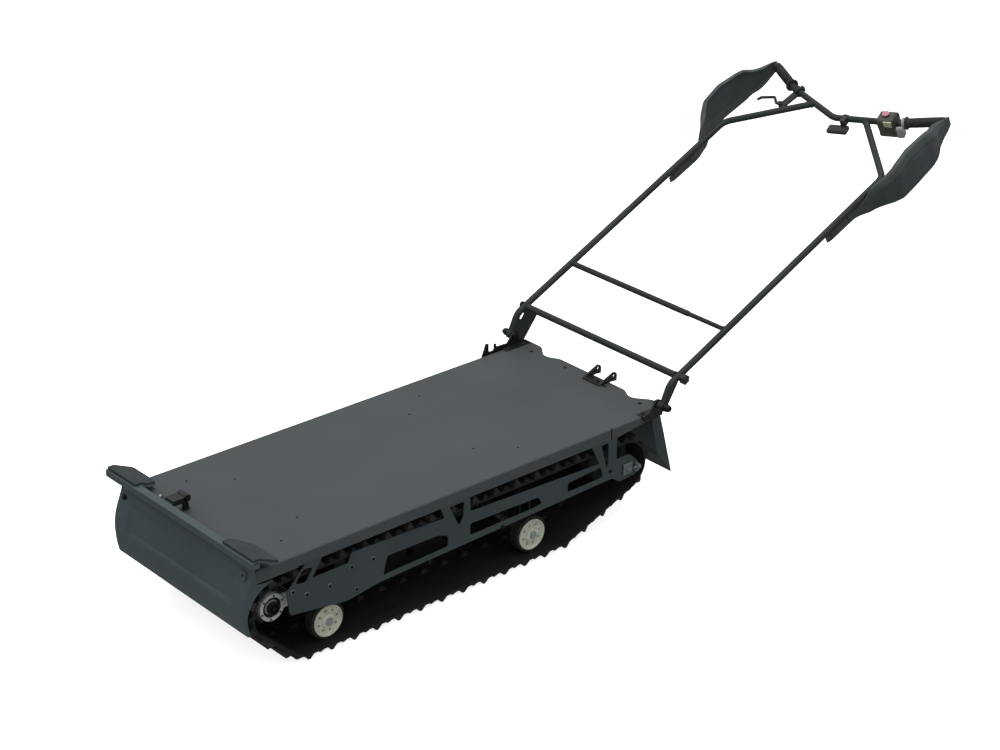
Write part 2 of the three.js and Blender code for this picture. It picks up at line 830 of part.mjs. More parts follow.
const hitchEar = plateX(
  outline(
    [
      [deckRear - 46, deckTop + seat],
      [deckRear + 14, deckTop + seat],
      [deckRear + 30, deckTop - 2],
      ...arc(hitchY, hitchZ, 12, -10, 130, 6),
      [deckRear - 40, deckTop + 5],
    ],
    circle(hitchY, hitchZ, 5.5, 12),
  ),
  -4,
  4,
);
add(carrier, "tow_hitch", "blackSteel", join(
  hitchEar.clone().translate(6, 0, 0),
  hitchEar.clone().translate(78, 0, 0),
  box(4, 80, deckRear - 45, deckRear - 12, deckTop + seat, deckTop + 4.5),
));

// ---------------------------------------------------------------- handle pivots on the deck corners
const pivotPlateX0 = deckHalf + 4;
const pivotPlateX1 = pivotPlateX0 + 6;
const lowerBarReach = Math.hypot(lowerBarS, tubeRise);
const notchCentreY = pivotY - lowerBarReach * Math.cos(THREE.MathUtils.degToRad(7.3));
const notchRadius = tubeRadius + 1;
const notchFloor = pivotZ - lowerBarReach * Math.sin(THREE.MathUtils.degToRad(7.3)) - notchRadius;
const footTop = deckTop + seat + 2.4;
const pivotPlateLow = deckTop - 13;
const pivotHub = [
  ...arc(pivotY, pivotZ, 15, -40, 130, 8),
  [pivotY - 34, deckTop + 12],
];
const pivotHole = circle(pivotY, pivotZ, bore(pivotRadius, seat));
const foot = box(deckHalf - 22, pivotPlateX1, pivotY - 60, tabY - 4, deckTop + seat, footTop);
const plainPlate = plateX(
  outline(
    [
      [pivotY - 62, deckTop + 4],
      [pivotY - 54, pivotPlateLow],
      [deckRear - 14, pivotPlateLow],
      [deckRear - 14, deckTop + seat],
      [tabY - 4, deckTop + seat],
      ...pivotHub,
    ],
    pivotHole,
  ),
  pivotPlateX0,
  pivotPlateX1,
);
const catchPlate = plateX(
  outline(
    [
      [notchCentreY - notchRadius - 30, pivotPlateLow],
      [deckRear - 14, pivotPlateLow],
      [deckRear - 14, deckTop + seat],
      [tabY - 4, deckTop + seat],
      ...pivotHub,
      [notchCentreY + notchRadius + 9, deckTop + 14],
      [notchCentreY + notchRadius + 7, deckTop + 26],
      [notchCentreY + notchRadius, deckTop + 26],
      [notchCentreY + notchRadius, notchFloor],
      [notchCentreY - notchRadius, notchFloor],
      [notchCentreY - notchRadius, deckTop + 34],
      [notchCentreY - notchRadius - 10, deckTop + 36],
    ],
    pivotHole,
  ),
  pivotPlateX0,
  pivotPlateX1,
);
add(carrier, "pivot_bracket_left", "blackSteel", join(plainPlate, foot));
add(carrier, "pivot_bracket_right", "blackSteel", mirrored(join(catchPlate, foot)));
const pinHead = tubeHalf + tubeRadius + 1;
const pivotPin = join(
  rodX(pivotRadius, pivotPlateX0 - 6, pinHead + 1, pivotY, pivotZ),
  turnedX([[0, pinHead], [12, pinHead], [12, pinHead + 10], [9, pinHead + 19], [0, pinHead + 20]],
    pivotY, pivotZ, 20),
  rodX(12, pivotPlateX0 - 6, pivotPlateX0 - seat, pivotY, pivotZ, 12),
);
addPair(carrier, "pivot_pin", "zinc", pivotPin);

// ---------------------------------------------------------------- handle: frame tubes
// Handle places are [X, S, H]: S runs up the handle from the pivot, H is square to its plane.
const elbowS = tubeRise / Math.tan(THREE.MathUtils.degToRad(40.1));
const tubeMeetX = 115;
const barAt = (x) => {
  const away = Math.abs(x);
  return away < barElbowX
    ? barMidS + ((barElbowS - barMidS) * away) / barElbowX
    : barElbowS + ((barEndS - barElbowS) * (away - barElbowX)) / (barEndX - barElbowX);
};
const tubeLine = [
  [tubeHalf, -11, -9.3],
  [tubeHalf, elbowS, tubeRise],
  [tubeHalf, tubeBendS, tubeRise],
  [tubeMeetX, barAt(tubeMeetX) - 4, tubeRise],
];
const handleBar = bentTube(
  [
    [-barEndX + 2, barAt(barEndX - 2), tubeRise],
    [-barElbowX, barElbowS, tubeRise],
    [0, barMidS, tubeRise],
    [barElbowX, barElbowS, tubeRise],
    [barEndX - 2, barAt(barEndX - 2), tubeRise],
  ],
  60,
  tubeRadius,
  tubeRadius - tubeWall,
  2,
);
add(handle, "handlebar", "tubePaint", handleBar);
const barSpace = bentTube(
  [
    [-barElbowX, barElbowS, tubeRise],
    [0, barMidS, tubeRise],
    [barElbowX, barElbowS, tubeRise],
  ],
  60,
  bore(tubeRadius, seat, tubeSides),
  0,
  2,
);
const tieSpace = rodX(bore(tieRadius, seat), tubeHalf - 50, tubeHalf + 40, lowerBarS, tubeRise);
const handleTube = cut(
  bentTube(tubeLine, 50, tubeRadius, tubeRadius - tubeWall, 4),
  barSpace,
  tieSpace,
  rodX(pivotRadius + running, tubeHalf - 50, tubeHalf + 50, 0, 0),
);
const tubeTidy = cut(
  handleTube,
  box(tubeHalf - tubeRadius - 1, tubeHalf - tubeRadius + 1.2, upperBarS - 8, upperBarS + 8,
    tubeRise - 8, tubeRise + 8),
);
addPair(handle, "handle_tube", "tubePaint", tubeTidy);
const gussetSpace = bentTube(tubeLine.slice(0, 3), 50, bore(tubeRadius, seat, tubeSides), 0, 4);
function gusset(shape) {
  return cut(
    plateX(shape, tubeHalf - 2, tubeHalf + 2),
    gussetSpace,
    tieSpace,
    rodX(pivotRadius + running, tubeHalf - 50, tubeHalf + 50, 0, 0),
  );
}
const slimGusset = outline([[4, -6], [12, -16], [84, 30], [86, tubeRise - 2], [50, tubeRise - 4]]);
const slottedGusset = outline(
  [
    [-10, -14],
    [22, -60],
    [34, -58],
    [122, -15],
    [124, -5],
    [96, tubeRise],
    [40, tubeRise],
  ],
  [[50, 20], [58, 15], [76, 24], [74, 31], [58, 28]],
);
add(handle, "gusset_left", "tubePaint", gusset(slimGusset));
add(handle, "gusset_right", "tubePaint", mirrored(gusset(slottedGusset)));

// ---------------------------------------------------------------- handle: crossbars
const betweenTubes = tubeHalf - tubeRadius - seat;
const tieEnd = tubeHalf + tubeRadius + 9;
add(handle, "lower_crossbar", "tubePaint", join(
  rodX(tubeRadius, -betweenTubes, betweenTubes, lowerBarS, tubeRise),
  rodX(tieRadius, -tieEnd, tieEnd, lowerBarS, tubeRise),
  rodX(11, tubeHalf + tubeRadius + seat, tieEnd - 3, lowerBarS, tubeRise, 12),
  rodX(11, -tieEnd + 3, -tubeHalf - tubeRadius - seat, lowerBarS, tubeRise, 12),
));
const upperBarEnd = tubeHalf - tubeRadius + 1.2 - seat;
add(handle, "upper_crossbar", "tubePaint", join(
  rodX(7.6, -upperBarEnd, upperBarEnd, upperBarS, tubeRise),
  rodX(9.5, -(tubeHalf - 20), 190, upperBarS, tubeRise),
));
const knobX = tieEnd - 3 + seat;
add(handle, "crossbar_knob", "blackPlastic",
  turnedX(
    [
      [0, tieEnd + seat],
      [tieRadius + running, tieEnd + seat],
      [tieRadius + running, knobX],
      [13, knobX],
      [17, knobX + 4],
      [17, knobX + 16],
      [12, knobX + 20],
      [0, knobX + 20],
    ],
    lowerBarS,
    tubeRise,
    10,
  ));

// ---------------------------------------------------------------- grips
const gripFrom = barElbowX + 18;
const gripTo = barEndX - 3;
// Builds along X from 0 and lays the piece along the outer leg of the handlebar.
const legTurn = Math.atan2(barEndS - barElbowS, barEndX - barElbowX);
function onLeg(geometry, atX) {
  return geometry.rotateZ(legTurn).translate(atX, barAt(atX), tubeRise);
}
const innerTurn = Math.atan2(barElbowS - barMidS, barElbowX);
function onInnerLeg(geometry, atX) {
  return geometry.rotateZ(innerTurn).translate(atX, barAt(atX), tubeRise);
}
const gripLength = (gripTo - gripFrom) / Math.cos(legTurn);
const gripSteps = 20;
const gripBore = bore(tubeRadius, seat, gripSteps);
const grip = onLeg(
  turnedX(
    [
      [gripBore, 0],
      [gripRadius + 6, 0],
      [gripRadius + 6, 5],
      [gripRadius, 7],
      [gripRadius, gripLength - 4],
      [gripRadius - 2, gripLength],
      [gripBore, gripLength],
    ],
    0,
    0,
    gripSteps,
  ),
  gripFrom,
);
addPair(handle, "grip", "rubber", grip);

// ---------------------------------------------------------------- hand guards
// A bent wall that stands square to the handle's plane: stations of [X, S, low H, high H] about the
// handlebar's height, from the bar end round the outside of the hand and down the frame tube.
const guardLine = [
  [24, barEndS + 8, -16, 18],
  [49, 1297, -44, 46],
  [66, 1270, -50, 62],
  [71, 1240, -56, 69],
  [78, 1152, -56, 80],
  [81, 1073, -56, 66],
  [66, 1040, -55, 48],
  [27, 992, -53, 28],
  [18, 970, -52, 6],
  [11, 955, -49, -8],
  [3, 937, -46, -tubeRadius - 2],
  [-2, 915, -44, -tubeRadius - 2.5],
  [-2, 800, -42, -tubeRadius - 3],
  [-2, 787, -37, -tubeRadius - 8],
].map(([out, ...rest]) => [tubeHalf + out, ...rest]);
function bentWall(stations, thickness) {
  const offsets = stations.map(([x, s], i) => {
    const before = stations[Math.max(i - 1, 0)];
    const after = stations[Math.min(i + 1, stations.length - 1)];
    const run = Math.hypot(after[0] - before[0], after[1] - before[1]);
    return [((before[1] - after[1]) / run) * thickness, ((after[0] - before[0]) / run) * thickness];
  });
  const corners = stations.map(([x, s, low, high], i) => [
    [x, s, tubeRise + low],
    [x, s, tubeRise + high],
    [x + offsets[i][0], s + offsets[i][1], tubeRise + high],
    [x + offsets[i][0], s + offsets[i][1], tubeRise + low],
  ]);
  const flat = [];
  const face = (a, b, c) => flat.push(...a, ...b, ...c);
  for (let i = 0; i + 1 < corners.length; i += 1) {
    for (let k = 0; k < 4; k += 1) {
      const next = (k + 1) % 4;
      face(corners[i][k], corners[i + 1][next], corners[i][next]);
      face(corners[i][k], corners[i + 1][k], corners[i + 1][next]);
    }
  }
  const first = corners[0];
  const last = corners[corners.length - 1];
  face(first[0], first[1], first[2]);
  face(first[0], first[2], first[3]);
  face(last[0], last[2], last[1]);
  face(last[0], last[3], last[2]);
  const wall = new THREE.BufferGeometry();
  wall.setAttribute("position", new THREE.Float32BufferAttribute(flat, 3));
  return wall;
}
const plugRadius = (tubeRadius - tubeWall) * Math.cos(Math.PI / innerSides) - seat;
const endPlug = onLeg(rodX(plugRadius, -12, 12, 0, 0, 12), barEndX);
const endCap = onLeg(rodX(15, 1, 9, 0, 0, 16), barEndX);
const strapBoss = [806, 890].map((at) =>
  box(tubeHalf - 6, tubeHalf + 6, at, at + 14, tubeRise - 24, tubeRise - tubeRadius - seat));
const guardWall = bentWall(guardLine, guardThick);
addPair(handle, "hand_guard", "blackPlastic", join(guardWall, endPlug, endCap, ...strapBoss));

// ---------------------------------------------------------------- brake lever, operator's right
const leverX = -(barElbowX - 24);
const leverPivot = [leverX - 12, 1222];
const perch = cut(
  join(
    onInnerLeg(rodX(17, -11, 11, 0, 0, 20), -leverX),
    plateZ(
      outline([
        [-leverX - 14, barAt(-leverX) - 12],
        [-leverX + 12, barAt(-leverX) - 8],
        [-leverX + 18, 1226],
        [-leverX + 8, 1206],
        [-leverX - 6, 1210],
      ]),
      tubeRise - 4,
      tubeRise + 4,
    ),
  ),
  onInnerLeg(rodX(bore(tubeRadius, seat, 20), -40, 40, 0, 0, 20), -leverX),
  bentTube(tubeLine.slice(1), 50, bore(tubeRadius, seat, tubeSides), 0, 4),
);
add(handle, "lever_perch", "tubePaint", mirrored(perch));
const leverArm = [
  [-leverPivot[0], leverPivot[1]],
  [-leverPivot[0] + 10, 1216],
  [-leverPivot[0] + 38, 1240],
  [-leverPivot[0] + 82, 1220],
  [-leverPivot[0] + 88, 1205],
];
const lever = join(
  bentTube(leverArm.map(([x, s]) => [x, s, tubeRise + 9.4]), 6, 5, 0, 2),
  rodX(9, 0, 9, 0, 0, 16)
    .rotateY(-Math.PI / 2)
    .translate(-leverPivot[0], leverPivot[1], tubeRise + 4 + seat),
);
add(handle, "brake_lever", "tubePaint", mirrored(lever));

// ---------------------------------------------------------------- controls, operator's left
const podX = barElbowX - 39;
const podHalf = 29;
const podOutline = outline([
  ...arc(-14, 15, 16, 90, 180, 4),
  [-30, -28],
  [-20, -46],
  [12, -42],
  [28, -24],
  [28, 16],
  ...arc(12, 15, 16, 20, 90, 3),
]);
const buttonX = -3;
const buttonRadius = 13;
const buttonStem = 5.5;
const pod = onInnerLeg(
  cut(
    plateX(podOutline, -podHalf, podHalf),
    rodX(bore(tubeRadius, seat), -podHalf - 1, podHalf + 1, 0, 0),
    plateZ(outline(circle(buttonX, 0, buttonStem + 1, 16)), 16, 40),
    box(-5, 25, -40, -18, 4, 26),
  ),
  podX,
);
add(handle, "control_pod", "olivePlastic", pod);
const stopButton = onInnerLeg(
  turnedXToZ([[0, 22], [buttonStem, 22], [buttonStem, 36], [buttonRadius, 36], [buttonRadius, 39], [9, 41], [0, 41]]),
  podX,
);
function turnedXToZ(profile) {
  const points = profile.map(([radius, z]) => new THREE.Vector2(radius, z));
  return new THREE.LatheGeometry(points, 16).rotateX(Math.PI / 2).translate(buttonX, 0, 0);
}
add(handle, "stop_button", "redPlastic", stopButton);
const gaugeLens = onInnerLeg(box(-4.5, 24.5, -30, -18.5, 4.5, 25.5), podX);
add(handle, "gauge_lens", "olivePlastic", gaugeLens);
const throttleX = barElbowX + 6.5;
const throttle = onLeg(
  join(
    ringX(gripRadius + 3, bore(tubeRadius, running), 0, 10, 0, 0, 16),
    box(0, 10, -30, -16, -30, -6),
    box(-14, 8, -36, -24, -36, 8),
  ),
  throttleX,
);
add(handle, "thumb_throttle", "blackPlastic", throttle);
const displayX = 24;
const display = cut(
  join(
    onInnerLeg(box(-34, 38, -54, -20, -24, -9), displayX),
    onInnerLeg(box(8, 30, -30, 14, -15, 15), displayX),
  ),
  onInnerLeg(rodX(bore(tubeRadius, seat), -60, 60, 0, 0), displayX),
);
add(handle, "display", "blackPlastic", display);

// ---------------------------------------------------------------- the part's own origin
// Ground level, under the centre of the bounding box.
carrier.updateMatrixWorld(true);
const bounds = new THREE.Box3().setFromObject(carrier, true);
const part = new THREE.Group();
carrier.position.set(
  -(bounds.min.x + bounds.max.x) / 2,
  -(bounds.min.y + bounds.max.y) / 2,
  -bounds.min.z,
);
part.add(carrier);

export default part;
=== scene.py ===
import json
import math

import bmesh
import bpy
from mathutils import Matrix, Vector

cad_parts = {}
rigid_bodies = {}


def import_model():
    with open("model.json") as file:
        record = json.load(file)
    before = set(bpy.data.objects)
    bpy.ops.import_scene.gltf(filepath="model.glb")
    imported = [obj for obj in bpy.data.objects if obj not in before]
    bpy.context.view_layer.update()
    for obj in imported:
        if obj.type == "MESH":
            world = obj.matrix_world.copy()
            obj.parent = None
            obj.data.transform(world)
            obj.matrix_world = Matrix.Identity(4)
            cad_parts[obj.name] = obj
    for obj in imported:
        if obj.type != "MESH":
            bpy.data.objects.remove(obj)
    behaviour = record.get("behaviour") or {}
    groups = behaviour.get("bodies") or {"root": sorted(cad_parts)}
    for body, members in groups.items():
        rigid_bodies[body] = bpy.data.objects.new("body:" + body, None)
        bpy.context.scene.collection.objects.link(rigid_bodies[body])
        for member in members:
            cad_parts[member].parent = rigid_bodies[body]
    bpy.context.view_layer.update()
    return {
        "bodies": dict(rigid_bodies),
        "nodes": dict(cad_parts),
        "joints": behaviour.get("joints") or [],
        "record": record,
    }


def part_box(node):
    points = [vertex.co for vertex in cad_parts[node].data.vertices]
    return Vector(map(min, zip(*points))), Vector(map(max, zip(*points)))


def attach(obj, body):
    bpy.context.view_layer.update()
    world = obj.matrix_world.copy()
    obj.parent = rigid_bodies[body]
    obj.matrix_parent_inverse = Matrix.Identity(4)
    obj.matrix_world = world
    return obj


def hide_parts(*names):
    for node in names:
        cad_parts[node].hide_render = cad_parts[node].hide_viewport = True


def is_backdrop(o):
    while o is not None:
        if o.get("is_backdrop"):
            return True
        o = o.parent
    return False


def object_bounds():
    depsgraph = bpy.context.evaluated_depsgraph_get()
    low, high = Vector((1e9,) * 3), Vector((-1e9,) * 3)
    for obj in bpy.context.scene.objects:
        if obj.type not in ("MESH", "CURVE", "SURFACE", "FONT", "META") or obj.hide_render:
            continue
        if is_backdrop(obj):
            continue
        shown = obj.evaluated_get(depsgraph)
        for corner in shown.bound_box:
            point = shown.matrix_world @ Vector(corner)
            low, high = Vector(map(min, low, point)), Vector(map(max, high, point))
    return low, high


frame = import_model()

# Camera, floor and light. The carrier stands on a white studio floor in a tent that is bright overhead
# and grey at the sides, under one large lamp above and two weaker ones, so its dark paint reads softly.
MM = 0.001
DECK_FRONT = -14
carrier = Matrix.Translation((0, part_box("deck_plate")[0][1] - DECK_FRONT * MM, 0)) @ Matrix.Scale(MM, 4)

CAMERA_PLACE = (4997.9, -3207.4, 3603.9)
CAMERA_HEADING, CAMERA_DIP, CAMERA_ROLL = 49.06, 25.35, 0.17
camera = bpy.data.objects.new("camera", bpy.data.cameras.new("camera"))
camera.data.lens = 87.1
camera.data.sensor_width = 36
camera.data.clip_end = 60
camera.matrix_world = (
    Matrix.Translation(carrier @ Vector(CAMERA_PLACE))
    @ Matrix.Rotation(math.radians(CAMERA_HEADING), 4, "Z")
    @ Matrix.Rotation(math.radians(90 - CAMERA_DIP), 4, "X")
    @ Matrix.Rotation(math.radians(CAMERA_ROLL), 4, "Z")
)
bpy.context.scene.collection.objects.link(camera)
bpy.context.scene.camera = camera


def linear(hex_colour):
    """An sRGB hex colour as the linear colour that a shader takes."""
    parts = [int(hex_colour[i : i + 2], 16) / 255 for i in (1, 3, 5)]
    return [c / 12.92 if c <= 0.04045 else ((c + 0.055) / 1.055) ** 2.4 for c in parts] + [1.0]


def add_node(material, kind, settings=None, links=None):
    """Adds a node. Settings are its properties or input values, and links feed its inputs."""
    node = material.node_tree.nodes.new(kind)
    for key, value in (settings or {}).items():
        if isinstance(key, int) or key in node.inputs:
            node.inputs[key].default_value = value
        else:
            setattr(node, key, value)
    for key, source in (links or {}).items():
        material.node_tree.links.new(source, node.inputs[key])
    return node


def mottled(name, roughness, metallic, mottle, dark, light, texture=None):
    """A material whose tone drifts between two colours, with a fine raised texture where one is given.

    mottle is its size in millimetres, its detail, and the noise levels at which the colour is fully dark
    and fully light. texture is its size and height in millimetres, its strength and its detail.
    """
    material = bpy.data.materials.new(name)
    material.use_nodes = True
    shader = material.node_tree.nodes["Principled BSDF"]
    shader.inputs["Roughness"].default_value = roughness
    shader.inputs["Metallic"].default_value = metallic
    place = add_node(material, "ShaderNodeTexCoord").outputs["Object"]
    size, detail, *levels = mottle
    settings = {"Scale": 1000 / size, "Detail": detail, "Roughness": 0.55}
    cloud = add_node(material, "ShaderNodeTexNoise", settings, {"Vector": place})
    ramp = add_node(material, "ShaderNodeValToRGB", None, {"Fac": cloud.outputs["Fac"]})
    for end, level, colour in zip(ramp.color_ramp.elements, levels, (dark, light)):
        end.position = level
        end.color = linear(colour)
    material.node_tree.links.new(ramp.outputs["Color"], shader.inputs["Base Color"])
    if texture:
        size, height, strength, detail = texture
        settings = {"Scale": 1000 / size, "Detail": detail, "Roughness": 0.55}
        fine = add_node(material, "ShaderNodeTexNoise", settings, {"Vector": place})
        settings = {"Strength": strength, "Distance": height * MM}
        bump = add_node(material, "ShaderNodeBump", settings, {"Height": fine.outputs["Fac"]})
        material.node_tree.links.new(bump.outputs["Normal"], shader.inputs["Normal"])
    return material, shader


# Matt white paper, lightly mottled. It glows a little so that it stays white, and bounced light does
# not see it, so that it does not brighten the paint from below.
floor_paper, shader = mottled("matt white paper", 0.9, 0.0, (400, 3.0, 0.3, 0.7), "#F7F7F6", "#FBFBFB")
shader.inputs["Emission Color"].default_value = linear("#FFFFFF")
shader.inputs["Emission Strength"].default_value = 0.75
bm = bmesh.new()
bmesh.ops.create_grid(bm, x_segments=1, y_segments=1, size=30)
floor_mesh = bpy.data.meshes.new("studio_floor")
bm.to_mesh(floor_mesh)
bm.free()
floor_mesh.materials.append(floor_paper)
floor = bpy.data.objects.new("studio_floor", floor_mesh)
bpy.context.scene.collection.objects.link(floor)
floor.visible_diffuse = False
floor.visible_glossy = False
floor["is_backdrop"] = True

# The surround is white overhead and falls to mid grey at the sides and below.
world = bpy.data.worlds.new("studio tent")
world.use_nodes = True
compass = add_node(world, "ShaderNodeTexCoord")
upward = add_node(world, "ShaderNodeSeparateXYZ", None, {"Vector": compass.outputs["Generated"]})
tent = add_node(world, "ShaderNodeValToRGB", None, {"Fac": upward.outputs["Z"]})
tent.color_ramp.elements[0].color = linear("#8E9092")
tent.color_ramp.elements[1].color = linear("#FFFFFF")
world.node_tree.links.new(tent.outputs["Color"], world.node_tree.nodes["Background"].inputs["Color"])
bpy.context.scene.world = world
bpy.context.scene.view_settings.view_transform = "Standard"

for name, power, size, place in (
    ("overhead_box", 60, 4.0, (0.5, 0.3, 4.2)),
    ("front_box", 20, 2.5, (3.4, -3.4, 2.2)),
    ("far_side_box", 10, 2.5, (-3.6, -1.5, 2.6)),
):
    lamp = bpy.data.objects.new(name, bpy.data.lights.new(name, "AREA"))
    lamp.data.energy = power
    lamp.data.size = size
    lamp.location = place
    lamp.rotation_euler = (Vector((0, 0, 0.3)) - Vector(place)).to_track_quat("-Z", "Y").to_euler()
    bpy.context.scene.collection.objects.link(lamp)


# Deck. A sheet of 3 mm steel laser-cut and folded down along both sides, powder coated dark grey.
# Each side flange has a relief slit where the rear corner folds in, and the rear edge is scalloped.
AXES = {
    "x": lambda a, b, c: Vector((c, a, b)),
    "y": lambda a, b, c: Vector((a, c, b)),
    "z": lambda a, b, c: Vector((a, b, c)),
}


def arc(centre_a, centre_b, radius, start, end, steps):
    """Points along an arc, in degrees."""
    turns = [math.radians(start + (end - start) * i / steps) for i in range(steps + 1)]
    return [(centre_a + radius * math.cos(t), centre_b + radius * math.sin(t)) for t in turns]


def circle(centre_a, centre_b, radius, steps=32):
    return arc(centre_a, centre_b, radius, 0, 360 - 360 / steps, steps - 1)


def rounded(corners, radius, steps=5):
    """A closed outline with its corners rounded, less where a side is too short."""
    points = []
    for i, corner in enumerate(corners):
        here = Vector(corner[:2])
        back = Vector(corners[i - 1][:2]) - here
        ahead = Vector(corners[(i + 1) % len(corners)][:2]) - here
        reach = min(radius if len(corner) < 3 else corner[2], back.length * 0.45, ahead.length * 0.45)
        start = here + back.normalized() * reach
        end = here + ahead.normalized() * reach
        for k in range(steps + 1):
            t = k / steps
            points.append(tuple((1 - t) ** 2 * start + 2 * t * (1 - t) * here + t * t * end))
    return points


def plate(outline, low, high, plane="x", holes=(), edge=0.7, segments=2):
    """A flat plate from low to high, square to a plane's axis, with its edges eased."""
    bm = bmesh.new()
    lines = []
    for loop in (outline, *holes):
        corners = [bm.verts.new(AXES[plane](a, b, low)) for a, b in loop]
        lines += [bm.edges.new((corner, corners[i - 1])) for i, corner in enumerate(corners)]
    bmesh.ops.triangle_fill(bm, edges=lines, use_beauty=True)
    bmesh.ops.dissolve_limit(bm, angle_limit=0.002, verts=[], edges=bm.edges[:])
    grown = bmesh.ops.extrude_face_region(bm, geom=bm.faces[:])["geom"]
    moved = [g for g in grown if isinstance(g, bmesh.types.BMVert)]
    bmesh.ops.translate(bm, vec=AXES[plane](0, 0, high - low), verts=moved)
    bmesh.ops.recalc_face_normals(bm, faces=bm.faces[:])
    if edge:
        ease(bm, edge, segments)
    return bm


def ease(bm, width, segments=2, least=0.6):
    """Rounds the edges that turn by more than this many radians."""
    sharp = [e for e in bm.edges if len(e.link_faces) == 2 and e.calc_face_angle(0) > least]
    bmesh.ops.bevel(
        bm,
        geom=sharp,
        offset=width,
        segments=segments,
        profile=0.5,
        affect="EDGES",
        clamp_overlap=True,
        material=-1,
    )


def block(x0, x1, y0, y1, z0, z1, edge=1.0):
    return plate([(x0, y0), (x1, y0), (x1, y1), (x0, y1)], z0, z1, "z", edge=edge)


def join(*parts):
    """Puts several meshes in one piece."""
    whole = bmesh.new()
    for part in parts:
        carried = bpy.data.meshes.new("carried")
        part.to_mesh(carried)
        whole.from_mesh(carried)
        bpy.data.meshes.remove(carried)
        part.free()
    return whole


def moved(bm, matrix):
    bmesh.ops.transform(bm, matrix=matrix, verts=bm.verts)
    return bm


def flipped(bm):
    """The mirror image across the carrier's middle plane."""
    bmesh.ops.scale(bm, vec=(-1, 1, 1), verts=bm.verts)
    bmesh.ops.reverse_faces(bm, faces=bm.faces)
    return bm


def on_side(bm, side):
    """A mesh drawn for the left side, or its mirror image for the right."""
    return bm if side > 0 else flipped(bm)


def finish_piece(name, bm, space, body, slot, material, *nodes, smooth=38):
    """Places a mesh made in millimetres, shades it, hangs it on the body it rides on and hides the parts it
    stands for.
    """
    bmesh.ops.transform(bm, matrix=space, verts=bm.verts)
    mesh = bpy.data.meshes.new(name)
    bm.to_mesh(mesh)
    bm.free()
    for face in mesh.polygons:
        face.use_smooth = True
    mesh.set_sharp_from_angle(angle=math.radians(smooth))
    mesh.materials.append(material)
    piece = bpy.data.objects.new(name, mesh)
    bpy.context.scene.collection.objects.link(piece)
    weight = piece.modifiers.new("even shading", "WEIGHTED_NORMAL")
    weight.keep_sharp = True
    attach(piece, body)
    if nodes:
        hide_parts(*nodes)
    return piece


# Powder coat baked on steel: a fine orange-peel texture, satin, with soft blotches of tone.
def powder_coat(name, dark, light, roughness):
    orange_peel = (1.4, 0.05, 0.35, 2.0)
    material, shader = mottled(name, roughness, 0.0, (260, 1.0, 0.2, 0.8), dark, light, orange_peel)
    shader.inputs["Specular IOR Level"].default_value = 0.2
    return material


deck_paint = powder_coat("dark grey satin powder coat", "#474B4D", "#4C5153", 0.52)
DECK_REAR = 1510
DECK_HALF = 322
DECK_TOP = 355
DECK_SHEET = 3
DECK_FOLD = 5
FLANGE_LOW = DECK_TOP - 37
TAB_Y = DECK_REAR + 16
TAB_HALF = DECK_HALF + 12
SLIT_Y = DECK_REAR - 216
NOTCH_FROM, NOTCH_TO, NOTCH_DEPTH = 135, 262, 28
DECK_SCREWS = ((150, 250), (230, 137), (150, 895), (230, 1000))


def rear_edge(side, steps=18):
    """The scallop between the middle of the deck's rear edge and its corner tab."""
    middle = (NOTCH_FROM + NOTCH_TO) / 2
    half = (NOTCH_TO - NOTCH_FROM) / 2
    points = []
    for i in range(steps + 1):
        across = -half + 2 * half * i / steps
        dip = NOTCH_DEPTH * math.cos(math.pi / 2 * across / half) ** 2
        points.append((side * (middle + across), DECK_REAR + (TAB_Y - DECK_REAR) * i / steps - dip))
    return points


flat_half = DECK_HALF - DECK_FOLD
deck_outline = (
    [(-flat_half, DECK_FRONT), (flat_half, DECK_FRONT), (flat_half, DECK_REAR - 10)]
    + [(TAB_HALF - 8, DECK_REAR - 4), (TAB_HALF, DECK_REAR + 4), (TAB_HALF, TAB_Y)]
    + rear_edge(1)[::-1]
    + rear_edge(-1)
    + [(-TAB_HALF, TAB_Y), (-TAB_HALF, DECK_REAR + 4), (-TAB_HALF + 8, DECK_REAR - 4)]
    + [(-flat_half, DECK_REAR - 10)]
)
screw_spots = [(side * x, y) for x, y in DECK_SCREWS for side in (-1, 1)]
sheet = plate(
    deck_outline, DECK_TOP - DECK_SHEET, DECK_TOP, "z", [circle(x, y, 4, 20) for x, y in screw_spots], edge=0
)


def folded_side(y0, y1, low):
    """A stretch of the side flange with its bend, as an L section drawn along the deck."""
    outer = arc(flat_half, DECK_TOP - DECK_FOLD, DECK_FOLD, 90, 0, 6)
    inner = arc(flat_half, DECK_TOP - DECK_FOLD, DECK_FOLD - DECK_SHEET, 0, 90, 4)
    section = outer + [(DECK_HALF, low), (DECK_HALF - DECK_SHEET, low)] + inner
    return plate(section, y0, y1, "y", edge=0.5)


flanges = []
for y0, y1, low in (
    (DECK_FRONT, 125, DECK_TOP - 40),
    (125.2, SLIT_Y - 2.5, FLANGE_LOW),
    (SLIT_Y + 2.5, SLIT_Y + 24, FLANGE_LOW),
):
    flanges += [folded_side(y0, y1, low), flipped(folded_side(y0, y1, low))]
rear_flange = plate(
    rounded([(SLIT_Y + 24, FLANGE_LOW, 1), (DECK_REAR - 12, DECK_TOP - 15, 5),
             (DECK_REAR - 12, DECK_TOP - 5, 1), (SLIT_Y + 24, DECK_TOP - 5, 1)], 1),
    DECK_HALF - DECK_SHEET,
    DECK_HALF,
)
corner_bend = plate(
    arc(flat_half, DECK_TOP - DECK_FOLD, DECK_FOLD, 90, 0, 6)
    + arc(flat_half, DECK_TOP - DECK_FOLD, DECK_FOLD - DECK_SHEET, 0, 90, 4),
    SLIT_Y + 24.2,
    DECK_REAR - 10,
    "y",
    edge=0,
)
flanges += [rear_flange, flipped(rear_flange.copy()), corner_bend, flipped(corner_bend.copy())]
finish_piece(
    "deck_plate_folded", join(sheet, *flanges), carrier, "chassis", "deck_paint", deck_paint, "deck_plate"
)
